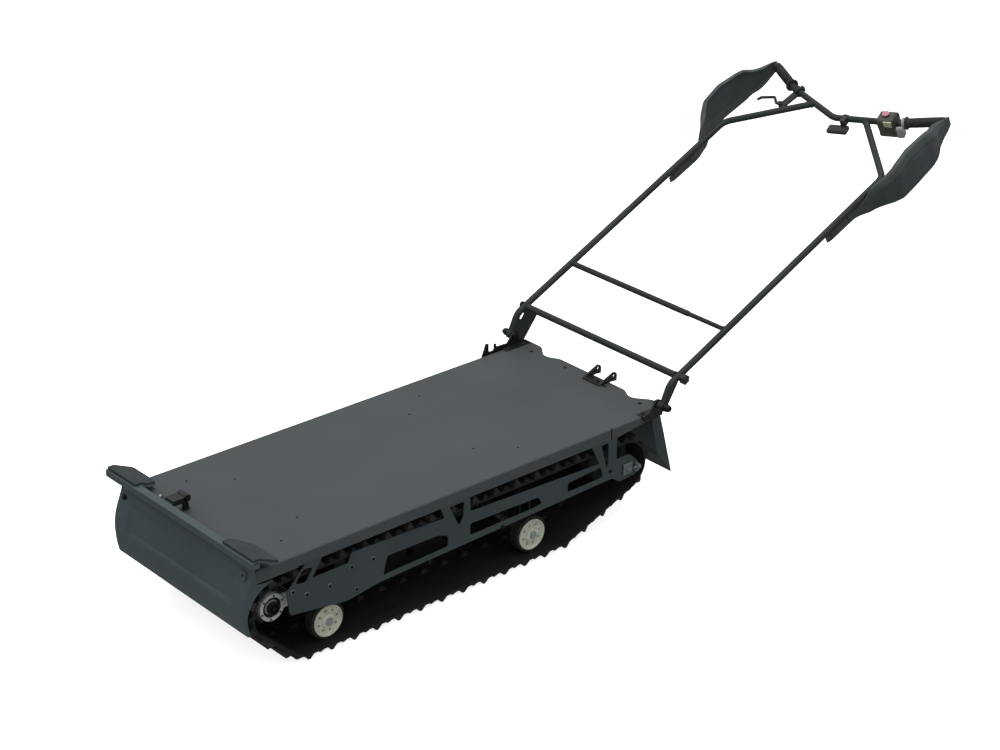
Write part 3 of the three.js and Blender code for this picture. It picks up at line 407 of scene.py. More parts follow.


# Front cover. One sheet of 3 mm steel rolled round the front of the track, with a long panel pressed
# into it for stiffness and a cheek folded back at each end; held by a screw at each side.
COVER_SHEET = 3
COVER_PROFILE = (
    (-17, 369), (-27, 351), (-34, 332), (-46, 303), (-54, 275), (-57, 245), (-56, 215), (-53, 185),
    (-47, 160),
)
COVER_BEND = 7
PANEL_END = DECK_HALF - 62
PANEL_DEPTH = 9
cover_paint = powder_coat("grey-green satin powder coat", "#445053", "#4E5A5C", 0.4)


def eased(points, rounds=2):
    """Cuts an open line's corners a few times, which leaves its ends in place."""
    for _ in range(rounds):
        cut = [points[0]]
        for a, b in zip(points, points[1:]):
            cut.append(tuple(p * 0.75 + q * 0.25 for p, q in zip(a, b)))
            cut.append(tuple(p * 0.25 + q * 0.75 for p, q in zip(a, b)))
        points = cut + [points[-1]]
    return points


def formed(columns, rows, place):
    """A grid bent to a shape. place gives each corner from its column and row."""
    bm = bmesh.new()
    bmesh.ops.create_grid(bm, x_segments=columns, y_segments=rows, size=0.5)
    for corner in bm.verts:
        corner.co = place(round((corner.co.x + 0.5) * columns), round((corner.co.y + 0.5) * rows))
    return bm


def closed_form(columns, rows, place):
    """A form whose last column meets its first, with both ends filled."""
    bm = formed(columns, rows, place)
    bmesh.ops.remove_doubles(bm, verts=bm.verts, dist=0.001)
    bmesh.ops.holes_fill(bm, edges=bm.edges, sides=0)
    bmesh.ops.recalc_face_normals(bm, faces=bm.faces)
    return bm


def step(value, low, high):
    """0 below low, 1 above high, and a smooth ramp between."""
    t = min(max((value - low) / (high - low), 0), 1)
    return t * t * (3 - 2 * t)


cover_line = eased(COVER_PROFILE, 2)
half_columns = [0, 60, 120, 180, PANEL_END - 14, PANEL_END - 7, PANEL_END, PANEL_END + 20, DECK_HALF - 25]
half_columns = [(x, 0) for x in half_columns] + [
    (DECK_HALF - COVER_BEND + COVER_BEND * math.sin(t), COVER_BEND * (1 - math.cos(t)))
    for t in (math.pi / 2 * k / 6 for k in range(7))
]
cover_columns = [(-x, back) for x, back in half_columns[:0:-1]] + half_columns


def cover_place(column, row):
    x, back = cover_columns[column]
    y, z = cover_line[row]
    before, after = cover_line[max(row - 1, 0)], cover_line[min(row + 1, len(cover_line) - 1)]
    run = Vector((after[0] - before[0], after[1] - before[1])).normalized()
    inward = Vector((-run.y, run.x))
    pressed = (1 - step(abs(x), PANEL_END - 12, PANEL_END)) * step(z, 238, 250) * (1 - step(z, 322, 334))
    depth = back + PANEL_DEPTH * pressed
    return Vector((x, y + inward.x * depth, z + inward.y * depth))


cover = formed(len(cover_columns) - 1, len(cover_line) - 1, cover_place)
bmesh.ops.recalc_face_normals(cover, faces=cover.faces)
middle_face = min(cover.faces, key=lambda f: (f.calc_center_median() - Vector((0, -55, 280))).length)
if middle_face.normal.y > 0:
    bmesh.ops.reverse_faces(cover, faces=cover.faces)
bmesh.ops.solidify(cover, geom=cover.faces[:], thickness=COVER_SHEET)
DRIVE_Y, DRIVE_Z = 59, 198
ARCH_RADIUS = 109
cheek_front = [(y + COVER_BEND, z) for y, z in cover_line if z < 352]
cheek_outline = (
    cheek_front
    + arc(DRIVE_Y, DRIVE_Z, ARCH_RADIUS, 198, 100, 24)
    + [(1.7, 310), (-14.3, 313), (-14.3, 351)]
)
cheek = plate(cheek_outline, DECK_HALF - COVER_SHEET, DECK_HALF, edge=0.4)
lip = plate(
    rounded([(-27, 352), (-20, 366), (-16, 372), (-13, 372), (-22, 350)], 2),
    -DECK_HALF + 4,
    DECK_HALF - 4,
    edge=0.4,
)
finish_piece(
    "front_cover_pressed",
    join(cover, cheek, flipped(cheek.copy()), lip),
    carrier,
    "chassis",
    "frame_paint",
    cover_paint,
    "front_cover",
)


TURNS = {
    "x": Matrix(),
    "y": Matrix.Rotation(math.pi / 2, 4, "Z"),
    "-y": Matrix.Rotation(-math.pi / 2, 4, "Z"),
    "z": Matrix.Rotation(-math.pi / 2, 4, "Y"),
}


def turned(profile, centre=(0, 0, 0), axis="x", steps=40):
    """A closed profile of (radius, place along the axis) spun round that axis."""
    bm = bmesh.new()
    corners = [bm.verts.new((along, radius, 0)) for radius, along in profile]
    lines = [bm.edges.new((corner, corners[i - 1])) for i, corner in enumerate(corners)]
    bmesh.ops.spin(
        bm,
        geom=corners + lines,
        axis=(1, 0, 0),
        cent=(0, 0, 0),
        angle=2 * math.pi,
        steps=steps,
        use_merge=True,
    )
    bmesh.ops.remove_doubles(bm, verts=bm.verts, dist=0.001)
    bmesh.ops.dissolve_degenerate(bm, dist=0.0001, edges=bm.edges)
    bmesh.ops.recalc_face_normals(bm, faces=bm.faces)
    return moved(bm, Matrix.Translation(centre) @ TURNS[axis])


def screw(place, axis="z", radius=7.0, height=3.6):
    """A button-head screw with a hexagon socket, standing out along the axis."""
    socket = radius * 0.42
    head = turned(
        [(0, -1), (radius, -1), (radius, height * 0.35), (radius * 0.86, height * 0.75), (radius * 0.6, height),
         (socket, height), (socket, height - 2.2), (0, height - 2.2)],
        steps=24,
    )
    return moved(head, Matrix.Translation(place) @ TURNS[axis])


# Black zinc-plated screws: dull black metal with a fine grain.
black_screws, _ = mottled(
    "black zinc-plated steel screws", 0.42, 0.7, (2, 3.0, 0.3, 0.7), "#141516", "#232527"
)
deck_screws = [screw((x, y, DECK_TOP - 3), "z", 4.6, 2.4) for x, y in screw_spots]
finish_piece("deck_screws", join(*deck_screws), carrier, "chassis", "black_steel", black_screws)
cover_screws = [screw((side * (DECK_HALF - 30), -35, 336), "-y", 6.5, 4) for side in (-1, 1)]
washers = [
    turned([(5, 0), (11, 0), (11, 1.4), (5, 1.4)], (side * (DECK_HALF - 30), -34, 336), "y")
    for side in (-1, 1)
]
finish_piece("cover_screws", join(*cover_screws, *washers), carrier, "chassis", "black_steel", black_screws)

# A small square plate under the left screw, in the cover's paint.
tab = plate(rounded([(-15, -13), (15, -13), (15, 13), (-15, 13)], 3), -0.5, 2.2, "y", edge=1)
lean_back = math.atan2(17, 50)
tab = moved(tab, Matrix.Translation((DECK_HALF - 32, -35.5, 337)) @ Matrix.Rotation(-lean_back, 4, "X")
            @ Matrix.Rotation(math.pi, 4, "Z"))
finish_piece("cover_tab_left", tab, carrier, "chassis", "frame_paint", cover_paint)


# Stop bar. A square steel bar across the front that keeps the load on the deck, on a folded plate,
# with a flat wing welded on at each end under a rubber pad, and a black catch for the load strap.
GAP = 0.3  # clearance between pieces that seat on each other
BAR_TOP = DECK_TOP + 51
BAR_Y0, BAR_Y1 = -50, -24
WING_HALF = DECK_HALF + 36
WING_FROM = 214
PAD_THICK = 8
bar = block(-WING_HALF, WING_HALF, BAR_Y0, BAR_Y1, BAR_TOP - 22, BAR_TOP - 0.2, 2.5)
WING_REAR = 42
WING_DROP = 30


def sloped_wing(outline, low, high, edge, segments=2):
    """A plate that lies on the bar and slopes down behind it to its rear edge."""
    bm = plate(outline, BAR_TOP + low, BAR_TOP + high, "z", edge=edge, segments=segments)
    everything = bm.verts[:] + bm.edges[:] + bm.faces[:]
    bmesh.ops.bisect_plane(bm, geom=everything, plane_co=(0, BAR_Y1, 0), plane_no=(0, 1, 0), dist=0.01)
    for corner in bm.verts:
        corner.co.z -= max(corner.co.y - BAR_Y1, 0) * WING_DROP / (WING_REAR - BAR_Y1)
    return bm


wing_outline = rounded(
    [(WING_FROM - 6, BAR_Y0 + 4, 3), (WING_HALF, BAR_Y0 + 4, 3), (WING_HALF, WING_REAR, 12),
     (WING_FROM + 24, WING_REAR, 10), (WING_FROM - 6, -4, 8)],
    6,
)
wing = sloped_wing(wing_outline, -6, 0, 1)
plate_foot = DECK_TOP + 0.4
post = plate(
    rounded([(-48, 396), (-48, 384), (-9, 374), (-9, plate_foot), (46, plate_foot), (30, 367), (-22, 396)], 4),
    250,
    256,
    edge=0.8,
)
stop_plate = plate(
    rounded([(-44, 394), (-44, 388), (-10, 377), (-10, plate_foot), (22, plate_foot), (22, 359), (-6, 359),
             (-6, 381), (-38, 394)], 1.5, 3),
    -290,
    290,
    edge=0.5,
)
finish_piece(
    "stop_bar_welded",
    join(bar, wing, flipped(wing.copy()), post, flipped(post.copy()), stop_plate),
    carrier,
    "chassis",
    "frame_paint",
    cover_paint,
    "stop_bar",
)

# Moulded rubber: near black, matt, with a faint grain and grey dust on it.
def moulded_rubber(name, dark, light, roughness=0.78):
    material, shader = mottled(name, roughness, 0.0, (45, 4.0, 0.35, 0.75), dark, light, (1.6, 0.12, 0.5, 3.0))
    shader.inputs["Specular IOR Level"].default_value = 0.35
    return material


pad_rubber = moulded_rubber("charcoal EPDM pad rubber", "#2E3335", "#394043")
for side, mark in ((1, "left"), (-1, "right")):
    pad = sloped_wing(
        rounded([(WING_FROM - 2, BAR_Y0 + 6, 3), (WING_HALF - 2, BAR_Y0 + 6, 3),
                 (WING_HALF - 2, WING_REAR, 12), (WING_FROM + 26, WING_REAR, 9), (WING_FROM - 2, -4, 8)], 6),
        0.3,
        PAD_THICK,
        2.2,
        3,
    )
    pad = on_side(pad, side)
    finish_piece(f"stop_pad_{mark}_moulded", pad, carrier, "chassis", "rubber", pad_rubber, f"stop_pad_{mark}")

# E-coated steel: thin glossy black with the metal's fine brushed marks just showing.
black_coat, _ = mottled(
    "black e-coated steel", 0.38, 0.2, (30, 3.0, 0.3, 0.7), "#101112", "#191B1C", (0.9, 0.04, 0.3, 3.0)
)
latch = join(
    block(-118, -62, BAR_Y1 + GAP, BAR_Y1 + 12, BAR_TOP - 14, BAR_TOP - 2, 1.5),
    block(-104, -64, BAR_Y1 + 8, 30, BAR_TOP - 14, BAR_TOP + 3, 2),
    turned([(0, -104), (11, -104), (12, -102), (12, -66), (11, -64), (0, -64)], (0, 32, BAR_TOP - 3)),
    plate(
        rounded([(30, DECK_TOP + GAP), (52, DECK_TOP + GAP), (48, BAR_TOP - 10), (34, BAR_TOP - 4)], 3),
        -94,
        -88,
    ),
    block(-103, -84, 28, 54, DECK_TOP + GAP, DECK_TOP + 3, 0.8),
)
finish_piece("strap_catch_latch", latch, carrier, "chassis", "black_steel", black_coat, "strap_catch")

# Zinc plating: pale silver-grey metal with a soft crystalline mottle, satin.
zinc_plate, _ = mottled(
    "zinc-plated steel", 0.34, 0.85, (7, 2.0, 0.3, 0.7), "#9DA4A6", "#C3C8C8", (0.8, 0.03, 0.3, 3.0)
)
hook = turned([(3.2, -3), (7, -3), (7, 3), (3.2, 3)], (-124, BAR_Y1 + 8, BAR_TOP - 6))
hook = join(hook, block(-124, -112, BAR_Y1 + 6, BAR_Y1 + 10, BAR_TOP - 9, BAR_TOP - 4, 1))
finish_piece("strap_catch_ring", hook, carrier, "chassis", "zinc", zinc_plate)


# Side plates. 4 mm steel, laser-cut with windows and slanted arms that hang the track frame under
# the deck, powder coated. Screws on washers fill a row of holes at the front, and three hold the frame.
SIDE_THICK = 4
frame_paint = powder_coat("blue-grey satin powder coat", "#3B4345", "#444D4F", 0.46)

# Weathered zinc plating: a dull grey metal with a soft mottle and little shine.
dull_zinc, _ = mottled(
    "weathered zinc-plated steel", 0.5, 0.3, (5, 3.0, 0.3, 0.7), "#5A6264", "#7C8486", (0.9, 0.05, 0.4, 3.0)
)
IDLER_Y, IDLER_Z = 1361, 200
# Corners as place along the carrier, height and the corner's own radius.
PLATE_TOP = FLANGE_LOW - GAP
PLATE_OUTLINE = (
    (92, 176, 8), (170, 165, 8), (288, 147, 22), (400, 164, 22), (1300, 186, 8), (1330, 164, 8),
    (1400, 170, 8), (1408, 209, 8), (1372, 244, 8), (1316, 244, 3), (1316, PLATE_TOP, 1),
    (1214, PLATE_TOP, 1), (1246, 252, 4),
    (738, 270, 4), (738, PLATE_TOP, 1), (628, PLATE_TOP, 1), (642, 282, 4), (308, 293, 8), (295, 264, 4),
    (170, 264, 4), (206, PLATE_TOP, 1), (151, PLATE_TOP, 1), (84, 249, 6),
)
PLATE_WINDOWS = (
    ((416, 180), (432, 238), (618, 236), (655, 222), (655, 186)),
    ((737, 192), (737, 232), (1000, 226), (1016, 200), (985, 195)),
    ((1117, 200), (1117, 232), (1252, 240), (1262, 202)),
    ((150, 259), (176, 297), (152, 303), (139, 300), (113, 267), (130, 261)),
    ((660, 312), (716, 312), (712, 262), (696, 238)),
    ((1252, 312), (1282, 312), (1282, 236), (1276, 226)),
)
PLATE_HOLES = ((104, 246), (150, 221), (229, 218), (305, 250), (321, 173), (381, 248))
slot_low, slot_high = IDLER_Y - 24, IDLER_Y + 12
tension_slot = rounded(
    [(slot_low, IDLER_Z - 12), (slot_high, IDLER_Z - 12), (slot_high, IDLER_Z + 12), (slot_low, IDLER_Z + 12)],
    2,
)
for side, mark in ((1, "left"), (-1, "right")):
    side_plate = plate(
        rounded(PLATE_OUTLINE, 6),
        DECK_HALF - SIDE_THICK,
        DECK_HALF,
        holes=[rounded(w, 9) for w in PLATE_WINDOWS]
        + [circle(y, z, 4, 20) for y, z in PLATE_HOLES]
        + [tension_slot],
        edge=0.6,
    )
    bolts = [screw((DECK_HALF, y, z), "x", 6.5, 3.5) for y, z in ((586, 160), (861, 178), (1290, 214))]
    bolts += [screw((DECK_HALF + 1, y, z), "x", 5.6, 3) for y, z in PLATE_HOLES]
    washers = [
        turned([(4, DECK_HALF - 1), (7.8, DECK_HALF - 1), (7.8, DECK_HALF + 1), (7, DECK_HALF + 1.6),
                (4, DECK_HALF + 1.6)], (0, y, z), steps=24)
        for y, z in PLATE_HOLES
    ]
    for name, bm, slot, material, *nodes in (
        ("cut", side_plate, "frame_paint", frame_paint, f"side_plate_{mark}"),
        ("bolts", join(*bolts), "black_steel", black_screws),
        ("washers", join(*washers), "zinc", dull_zinc),
    ):
        finish_piece(f"side_plate_{mark}_{name}", on_side(bm, side), carrier, "chassis", slot, material, *nodes)


# Track. One endless rubber belt as wide as the carrier: a flat carcass, full-width cleats outside that
# narrow towards their tips, short ones between them at each edge, and guide blocks inside.
BELT_THICK = 8
LUG_HEIGHT = 18
LUG_LENGTH = 26
WHEEL_CLEAR = 1
TRACK_HALF = DECK_HALF - SIDE_THICK - 4
ROAD_RADIUS = 58
END_RADIUS = 78
NOSE_Y, TAIL_Y = 155, 1112
ROAD_Z = LUG_HEIGHT + BELT_THICK + WHEEL_CLEAR + ROAD_RADIUS
belt_stops = (
    (DRIVE_Y, DRIVE_Z, END_RADIUS), (NOSE_Y, ROAD_Z, ROAD_RADIUS), (TAIL_Y, ROAD_Z, ROAD_RADIUS),
    (IDLER_Y, IDLER_Z, END_RADIUS),
)


def belt_loop(offset, arc_steps):
    """The closed line of the belt at a distance outside its wheels."""
    headings = []
    for i, (y, z, radius) in enumerate(belt_stops):
        next_y, next_z, next_radius = belt_stops[(i + 1) % len(belt_stops)]
        run = math.hypot(next_y - y, next_z - z)
        headings.append(math.atan2(next_z - z, next_y - y) - math.asin((next_radius - radius) / run))
    line = []
    for i, (y, z, radius) in enumerate(belt_stops):
        arrive = headings[i - 1] - math.pi / 2
        leave = headings[i] - math.pi / 2
        while leave < arrive:
            leave += 2 * math.pi
        for k in range(arc_steps + 1):
            turn = arrive + (leave - arrive) * k / arc_steps
            reach = radius + offset
            line.append(Vector((y + reach * math.cos(turn), z + reach * math.sin(turn))))
    return line


def along_loop(line, distance):
    """The place, and the direction, at a distance along a closed line."""
    for a, b in zip(line, line[1:] + line[:1]):
        length = (b - a).length
        if distance <= length and length > 0:
            return a + (b - a) * (distance / length), (b - a).normalized()
        distance -= length
    return line[0], (line[1] - line[0]).normalized()


outer_line = belt_loop(WHEEL_CLEAR + BELT_THICK, 24)
inner_line = belt_loop(WHEEL_CLEAR, 24)
loop_length = sum((b - a).length for a, b in zip(outer_line, outer_line[1:] + outer_line[:1]))
lug_count = round(loop_length / 80)
carcass = plate(
    [tuple(p) for p in outer_line], -TRACK_HALF, TRACK_HALF, holes=[[tuple(p) for p in inner_line]], edge=1.2
)


def cleat(half_width, base, tip, height, sunk):
    """A cleat that stands on the belt's outer face at the origin, across the belt."""
    shape = [(-base / 2, -sunk), (base / 2, -sunk), (base / 2, 0), (tip / 2, height), (-tip / 2, height),
             (-base / 2, 0)]
    bm = plate(rounded([(a, b, 2) for a, b in shape], 2, 2), -half_width, half_width, edge=1.4)
    for corner in bm.verts:
        if corner.co.z > height * 0.5:
            corner.co.x *= 1 - 6 / half_width
    return bm


def belt_parts(make, places):
    """Copies of one moulded part set along the belt, each turned to face out."""
    original = bpy.data.meshes.new("belt_part")
    part = make()
    part.to_mesh(original)
    part.free()
    whole = bmesh.new()
    for x, (place, heading), out in places:
        copy = bmesh.new()
        copy.from_mesh(original)
        turn = math.atan2(heading.y, heading.x) + (math.pi if out else 0)
        moved(copy, Matrix.Translation((x, place.x, place.y)) @ Matrix.Rotation(turn, 4, "X"))
        carried = bpy.data.meshes.new("carried")
        copy.to_mesh(carried)
        copy.free()
        whole.from_mesh(carried)
        bpy.data.meshes.remove(carried)
    bpy.data.meshes.remove(original)
    return whole


lug_places = [
    (0, along_loop(outer_line, (i * loop_length / lug_count + LUG_LENGTH / 2) % loop_length), True)
    for i in range(lug_count)
]
cleats = belt_parts(lambda: cleat(TRACK_HALF - 1, LUG_LENGTH, 9, LUG_HEIGHT - 0.2, 1), lug_places)
between_places = [
    (side * (TRACK_HALF - 26), along_loop(outer_line, ((i + 0.5) * loop_length / lug_count + LUG_LENGTH / 2)
                                          % loop_length), True)
    for i in range(lug_count)
    for side in (-1, 1)
]
short_cleats = belt_parts(lambda: cleat(24, 22, 8, LUG_HEIGHT * 0.55, 1), between_places)
inner_length = sum((b - a).length for a, b in zip(inner_line, inner_line[1:] + inner_line[:1]))
guide_places = [
    (side * 172, along_loop(inner_line, (i + 0.5) * inner_length / lug_count), False)
    for i in range(lug_count)
    for side in (-1, 1)
]
guides = belt_parts(lambda: cleat(9, 30, 12, 12, 1), guide_places)

# Black moulded tyre-grade rubber. The cleats are scuffed a brownish grey. Their colour is also scaled
# up towards the front end of the belt as painted light, where the belt's nose faces the front lamp.
belt_rubber = moulded_rubber("black moulded track rubber", "#0B0B0B", "#171716", 0.74)
cleat_rubber = moulded_rubber("scuffed black track rubber", "#1A1817", "#33302E", 0.82)
place = add_node(cleat_rubber, "ShaderNodeTexCoord")
along = add_node(cleat_rubber, "ShaderNodeSeparateXYZ", None, {"Vector": place.outputs["Object"]})
# Painted light: the cleats' colour is brightened, up to this gain, over the belt's front end where its nose
# faces the light.
NOSE_LIGHT_FROM, NOSE_LIGHT_FULL, NOSE_LIGHT_GAIN = -1.2, -1.36, 2.1
nose_light = add_node(
    cleat_rubber,
    "ShaderNodeMapRange",
    {"From Min": NOSE_LIGHT_FROM, "From Max": NOSE_LIGHT_FULL, "To Min": 1.0, "To Max": NOSE_LIGHT_GAIN},
    {"Value": along.outputs["Y"]},
)
shader = cleat_rubber.node_tree.nodes["Principled BSDF"]
plain = shader.inputs["Base Color"].links[0].from_socket
nose_lit = add_node(cleat_rubber, "ShaderNodeVectorMath", {"operation": "SCALE"},
                 {0: plain, "Scale": nose_light.outputs["Result"]})
cleat_rubber.node_tree.links.new(nose_lit.outputs["Vector"], shader.inputs["Base Color"])
belt_body = join(carcass, guides, short_cleats)
finish_piece("track_belt_carcass", belt_body, carrier, "chassis", "rubber", belt_rubber, "track_belt")
finish_piece("track_belt_cleats", cleats, carrier, "chassis", "rubber", cleat_rubber)


# Frame of the track. Two square tubes cross between the side plates and carry the slide rails, whose
# round ends lead the belt; all steel, powder coated. Hardly any of it shows once the belt is on.
CROSS_Z, CROSS_SIZE = 205, 40
ROAD_AXLES = (("front", 245), ("rear", 1005))
CROSS_HALF = DECK_HALF - SIDE_THICK - GAP
# Painted shade: the cross tubes take the black e-coat instead of the frame paint of their slot, so the inside
# of the frame looks dark through the side plate windows.
for end, y in (("front", 400), ("rear", 950)):
    half, inside = CROSS_SIZE / 2, CROSS_SIZE / 2 - 3
    tube_section = rounded([(y - half, CROSS_Z - half), (y + half, CROSS_Z - half), (y + half, CROSS_Z + half),
                            (y - half, CROSS_Z + half)], 5)
    hollow = rounded([(y - inside, CROSS_Z - inside), (y + inside, CROSS_Z - inside),
                      (y + inside, CROSS_Z + inside), (y - inside, CROSS_Z + inside)], 3)
    finish_piece(
        f"cross_tube_{end}_square",
        plate(tube_section, -CROSS_HALF, CROSS_HALF, holes=[hollow], edge=0),
        carrier,
        "chassis",
        "frame_paint",
        black_coat,
        f"cross_tube_{end}",
    )

# The rails are drawn as one plate each, notched round the cross tubes, on a flat shoe.
RAIL_LOW = ROAD_Z - ROAD_RADIUS
RAIL_HIGH = ROAD_Z + 18
RAIL_X = 130
NOTCH_TOP = CROSS_Z - CROSS_SIZE / 2 - GAP
rail_outline = (
    arc(NOSE_Y, ROAD_Z, ROAD_RADIUS, 170, 270, 20)
    + arc(TAIL_Y, ROAD_Z, ROAD_RADIUS, 270, 340, 14)
    + rounded([(TAIL_Y + 30, RAIL_HIGH - 20), (1025, RAIL_HIGH), (972, RAIL_HIGH), (966, NOTCH_TOP),
               (934, NOTCH_TOP), (924, RAIL_HIGH), (426, RAIL_HIGH), (416, NOTCH_TOP), (384, NOTCH_TOP),
               (378, RAIL_HIGH), (NOSE_Y - 36, RAIL_HIGH)], 5, 3)
)
for side, mark in ((1, "left"), (-1, "right")):
    web = plate(
        rail_outline,
        RAIL_X,
        RAIL_X + 8,
        holes=[circle(y, ROAD_Z, 10.3) for _, y in ROAD_AXLES]
        + [circle(y, ROAD_Z + 2, 14) for y in (520, 660, 800)],
        edge=0.6,
    )
    shoe = block(RAIL_X - 12, RAIL_X + 20, NOSE_Y, TAIL_Y, RAIL_LOW, RAIL_LOW + 8, 1.5)
    finish_piece(
        f"slide_rail_{mark}_welded",
        on_side(join(web, shoe), side),
        carrier,
        "chassis",
        "frame_paint",
        black_coat,
        f"slide_rail_{mark}",
    )


# Road wheels. Cream nylon hubs with a raised boss and a ring of lightening holes, in black rubber
# tyres, two a side, each on a plated axle with a hexagon nut at the end.
ROAD_FACE = TRACK_HALF - 23
ROAD_WIDTH = 38
HUB_RADIUS = ROAD_RADIUS - 9
AXLE_RADIUS = 10

# Cast nylon in its natural cream, stained with dirt, faintly pitted and slightly translucent.
nylon, shader = mottled(
    "natural cream nylon", 0.5, 0.0, (26, 4.0, 0.36, 0.7), "#B9BAA9", "#D6D7C4", (1.8, 0.08, 0.5, 3.0)
)
shader.inputs["Subsurface Weight"].default_value = 0.04
tyre_rubber = moulded_rubber("dark grey moulded tyre rubber", "#191918", "#252423", 0.72)


def road_hub(y):
    inner, outer = ROAD_FACE - ROAD_WIDTH, ROAD_FACE
    rim = turned(
        [(HUB_RADIUS - 6, inner), (HUB_RADIUS, inner), (HUB_RADIUS, outer - 1.2), (HUB_RADIUS - 1.2, outer),
         (HUB_RADIUS - 5, outer), (HUB_RADIUS - 7, outer - 2.5), (HUB_RADIUS - 8, outer - 6),
         (HUB_RADIUS - 8, outer - 10), (HUB_RADIUS - 6, outer - 14)],
        (0, y, ROAD_Z),
        steps=56,
    )
    web = plate(
        circle(y, ROAD_Z, HUB_RADIUS - 6.5, 56),
        outer - 12,
        outer - 4.5,
        holes=[circle(y, ROAD_Z, AXLE_RADIUS + 1, 24)]
        + [circle(y + 32 * math.cos(t), ROAD_Z + 32 * math.sin(t), 4.2, 16)
           for t in (math.radians(45 * k + 12) for k in range(8))],
        edge=0.5,
    )
    boss = turned(
        [(AXLE_RADIUS + 0.7, inner), (22, inner), (22, outer - 7), (23.5, outer - 5), (22, outer + 1),
         (19, outer + 2.8), (AXLE_RADIUS + 0.7, outer + 2.8)],
        (0, y, ROAD_Z),
    )
    ribs = [
        moved(block(outer - 30, outer - 11, -1.6, 1.6, 20, HUB_RADIUS - 5, 0.4),
              Matrix.Translation((0, y, ROAD_Z)) @ Matrix.Rotation(math.radians(45 * k + 34.5), 4, "X"))
        for k in range(8)
    ]
    return join(rim, web, boss, *ribs)


def road_tyre(y):
    inner, outer = ROAD_FACE - ROAD_WIDTH, ROAD_FACE - 4
    low, high = HUB_RADIUS + GAP, ROAD_RADIUS
    grooves = [(high, outer - 3), (high, outer - 9), (high - 1.5, outer - 10), (high - 1.5, outer - 12),
               (high, outer - 13), (high, inner + 11), (high - 1.5, inner + 10), (high - 1.5, inner + 8),
               (high, inner + 7), (high, inner + 3), (high - 3, inner)]
    return turned([(low, inner), (low, outer), (high - 3, outer)] + grooves, (0, y, ROAD_Z), steps=64)


def hexagon(radius, x0, x1, y, z):
    return plate(circle(y, z, radius, 6), x0, x1, edge=1.2)


for end, y in ROAD_AXLES:
    for side, mark in ((1, "left"), (-1, "right")):
        hub, tyre = on_side(road_hub(y), side), on_side(road_tyre(y), side)
        body = f"road_wheel_{end}_{mark}"
        for node, bm, finish, slot, material in (
            (f"road_hub_{end}_{mark}", hub, "nylon", "wheel_plastic", nylon),
            (f"road_tyre_{end}_{mark}", tyre, "rubber", "rubber", tyre_rubber),
        ):
            finish_piece(f"{node}_{finish}", bm, carrier, body, slot, material, node)
    reach = ROAD_FACE + 7
    axle_parts = [turned([(0, -reach), (9, -reach), (AXLE_RADIUS, -reach + 1.5), (AXLE_RADIUS, reach - 1.5),
                          (9, reach), (0, reach)], (0, y, ROAD_Z))]
    for side in (-1, 1):
        span = sorted((side * (ROAD_FACE + 3.6), side * (ROAD_FACE + 6.4)))
        axle_parts.append(hexagon(14, span[0], span[1], y, ROAD_Z))
        span = sorted((side * (ROAD_FACE - ROAD_WIDTH - 8), side * (ROAD_FACE - ROAD_WIDTH - 0.6)))
        spacer = [(AXLE_RADIUS, span[0]), (15, span[0]), (15, span[1]), (AXLE_RADIUS, span[1])]
        axle_parts.append(turned(spacer, (0, y, ROAD_Z)))
    finish_piece(
        f"road_axle_{end}_plated", join(*axle_parts), carrier, "chassis", "zinc", zinc_plate, f"road_axle_{end}"
    )


# Drive. A geared motor turns a cross shaft with a nylon sprocket at each side of the belt. The shaft's
# ends run in pale cast housings, round and recessed, that bolt to brackets inside the side plates.
HOUSING_X = DECK_HALF - 54
SHAFT_END = HOUSING_X + 28
SHAFT_RADIUS = 12.5
SPROCKET_X, SPROCKET_WIDE = 200, 24

# Cast aluminium, bead blasted: pale and matt, with a fine even grain.
cast, _ = mottled(
    "cast aluminium, bead blasted", 0.5, 0.35, (12, 3.0, 0.3, 0.7), "#B3BABC", "#CDD2D3", (1.2, 0.1, 0.5, 3.0)
)

# Glass-filled nylon: near black and dull, with a fine moulded texture.
dark_plastic, _ = mottled(
    "black glass-filled nylon", 0.55, 0.0, (9, 3.0, 0.3, 0.7), "#1B1E1F", "#26292A", (1.1, 0.08, 0.5, 3.0)
)

housing = join(
    turned(
        [(13.1, HOUSING_X), (42, HOUSING_X), (42, HOUSING_X + 16), (40.5, HOUSING_X + 18),
         (31.5, HOUSING_X + 18), (30, HOUSING_X + 16.5), (30, HOUSING_X + 12), (13.1, HOUSING_X + 12)],
        (0, DRIVE_Y, DRIVE_Z),
        steps=56,
    ),
    block(HOUSING_X, HOUSING_X + 8, DRIVE_Y + 30, 168, DRIVE_Z - 22, DRIVE_Z + 22, 2),
    block(HOUSING_X, DECK_HALF - SIDE_THICK - GAP, 148, 168, DRIVE_Z - 22, DRIVE_Z + 22, 2),
)
housing_bolts = [
    screw((HOUSING_X + 17, DRIVE_Y + 36 * math.cos(t), DRIVE_Z + 36 * math.sin(t)), "x", 3.4, 2.6)
    for t in (math.radians(60 * k + 20) for k in range(6))
]
bearing_seal = turned(
    [(22.5, HOUSING_X + 11), (29.6, HOUSING_X + 11), (29.6, HOUSING_X + 14), (27, HOUSING_X + 15),
     (22.5, HOUSING_X + 14)],
    (0, DRIVE_Y, DRIVE_Z),
)
bearing_fixings = join(*housing_bolts, bearing_seal)
for side, mark in ((1, "left"), (-1, "right")):
    housing_copy, fixings_copy = on_side(housing.copy(), side), on_side(bearing_fixings.copy(), side)
    finish_piece(
        f"drive_bearing_{mark}_cast", housing_copy, carrier, "chassis", "zinc", cast, f"drive_bearing_{mark}"
    )
    finish_piece(f"drive_bearing_{mark}_seal", fixings_copy, carrier, "chassis", "black_steel", black_screws)
housing.free()
bearing_fixings.free()

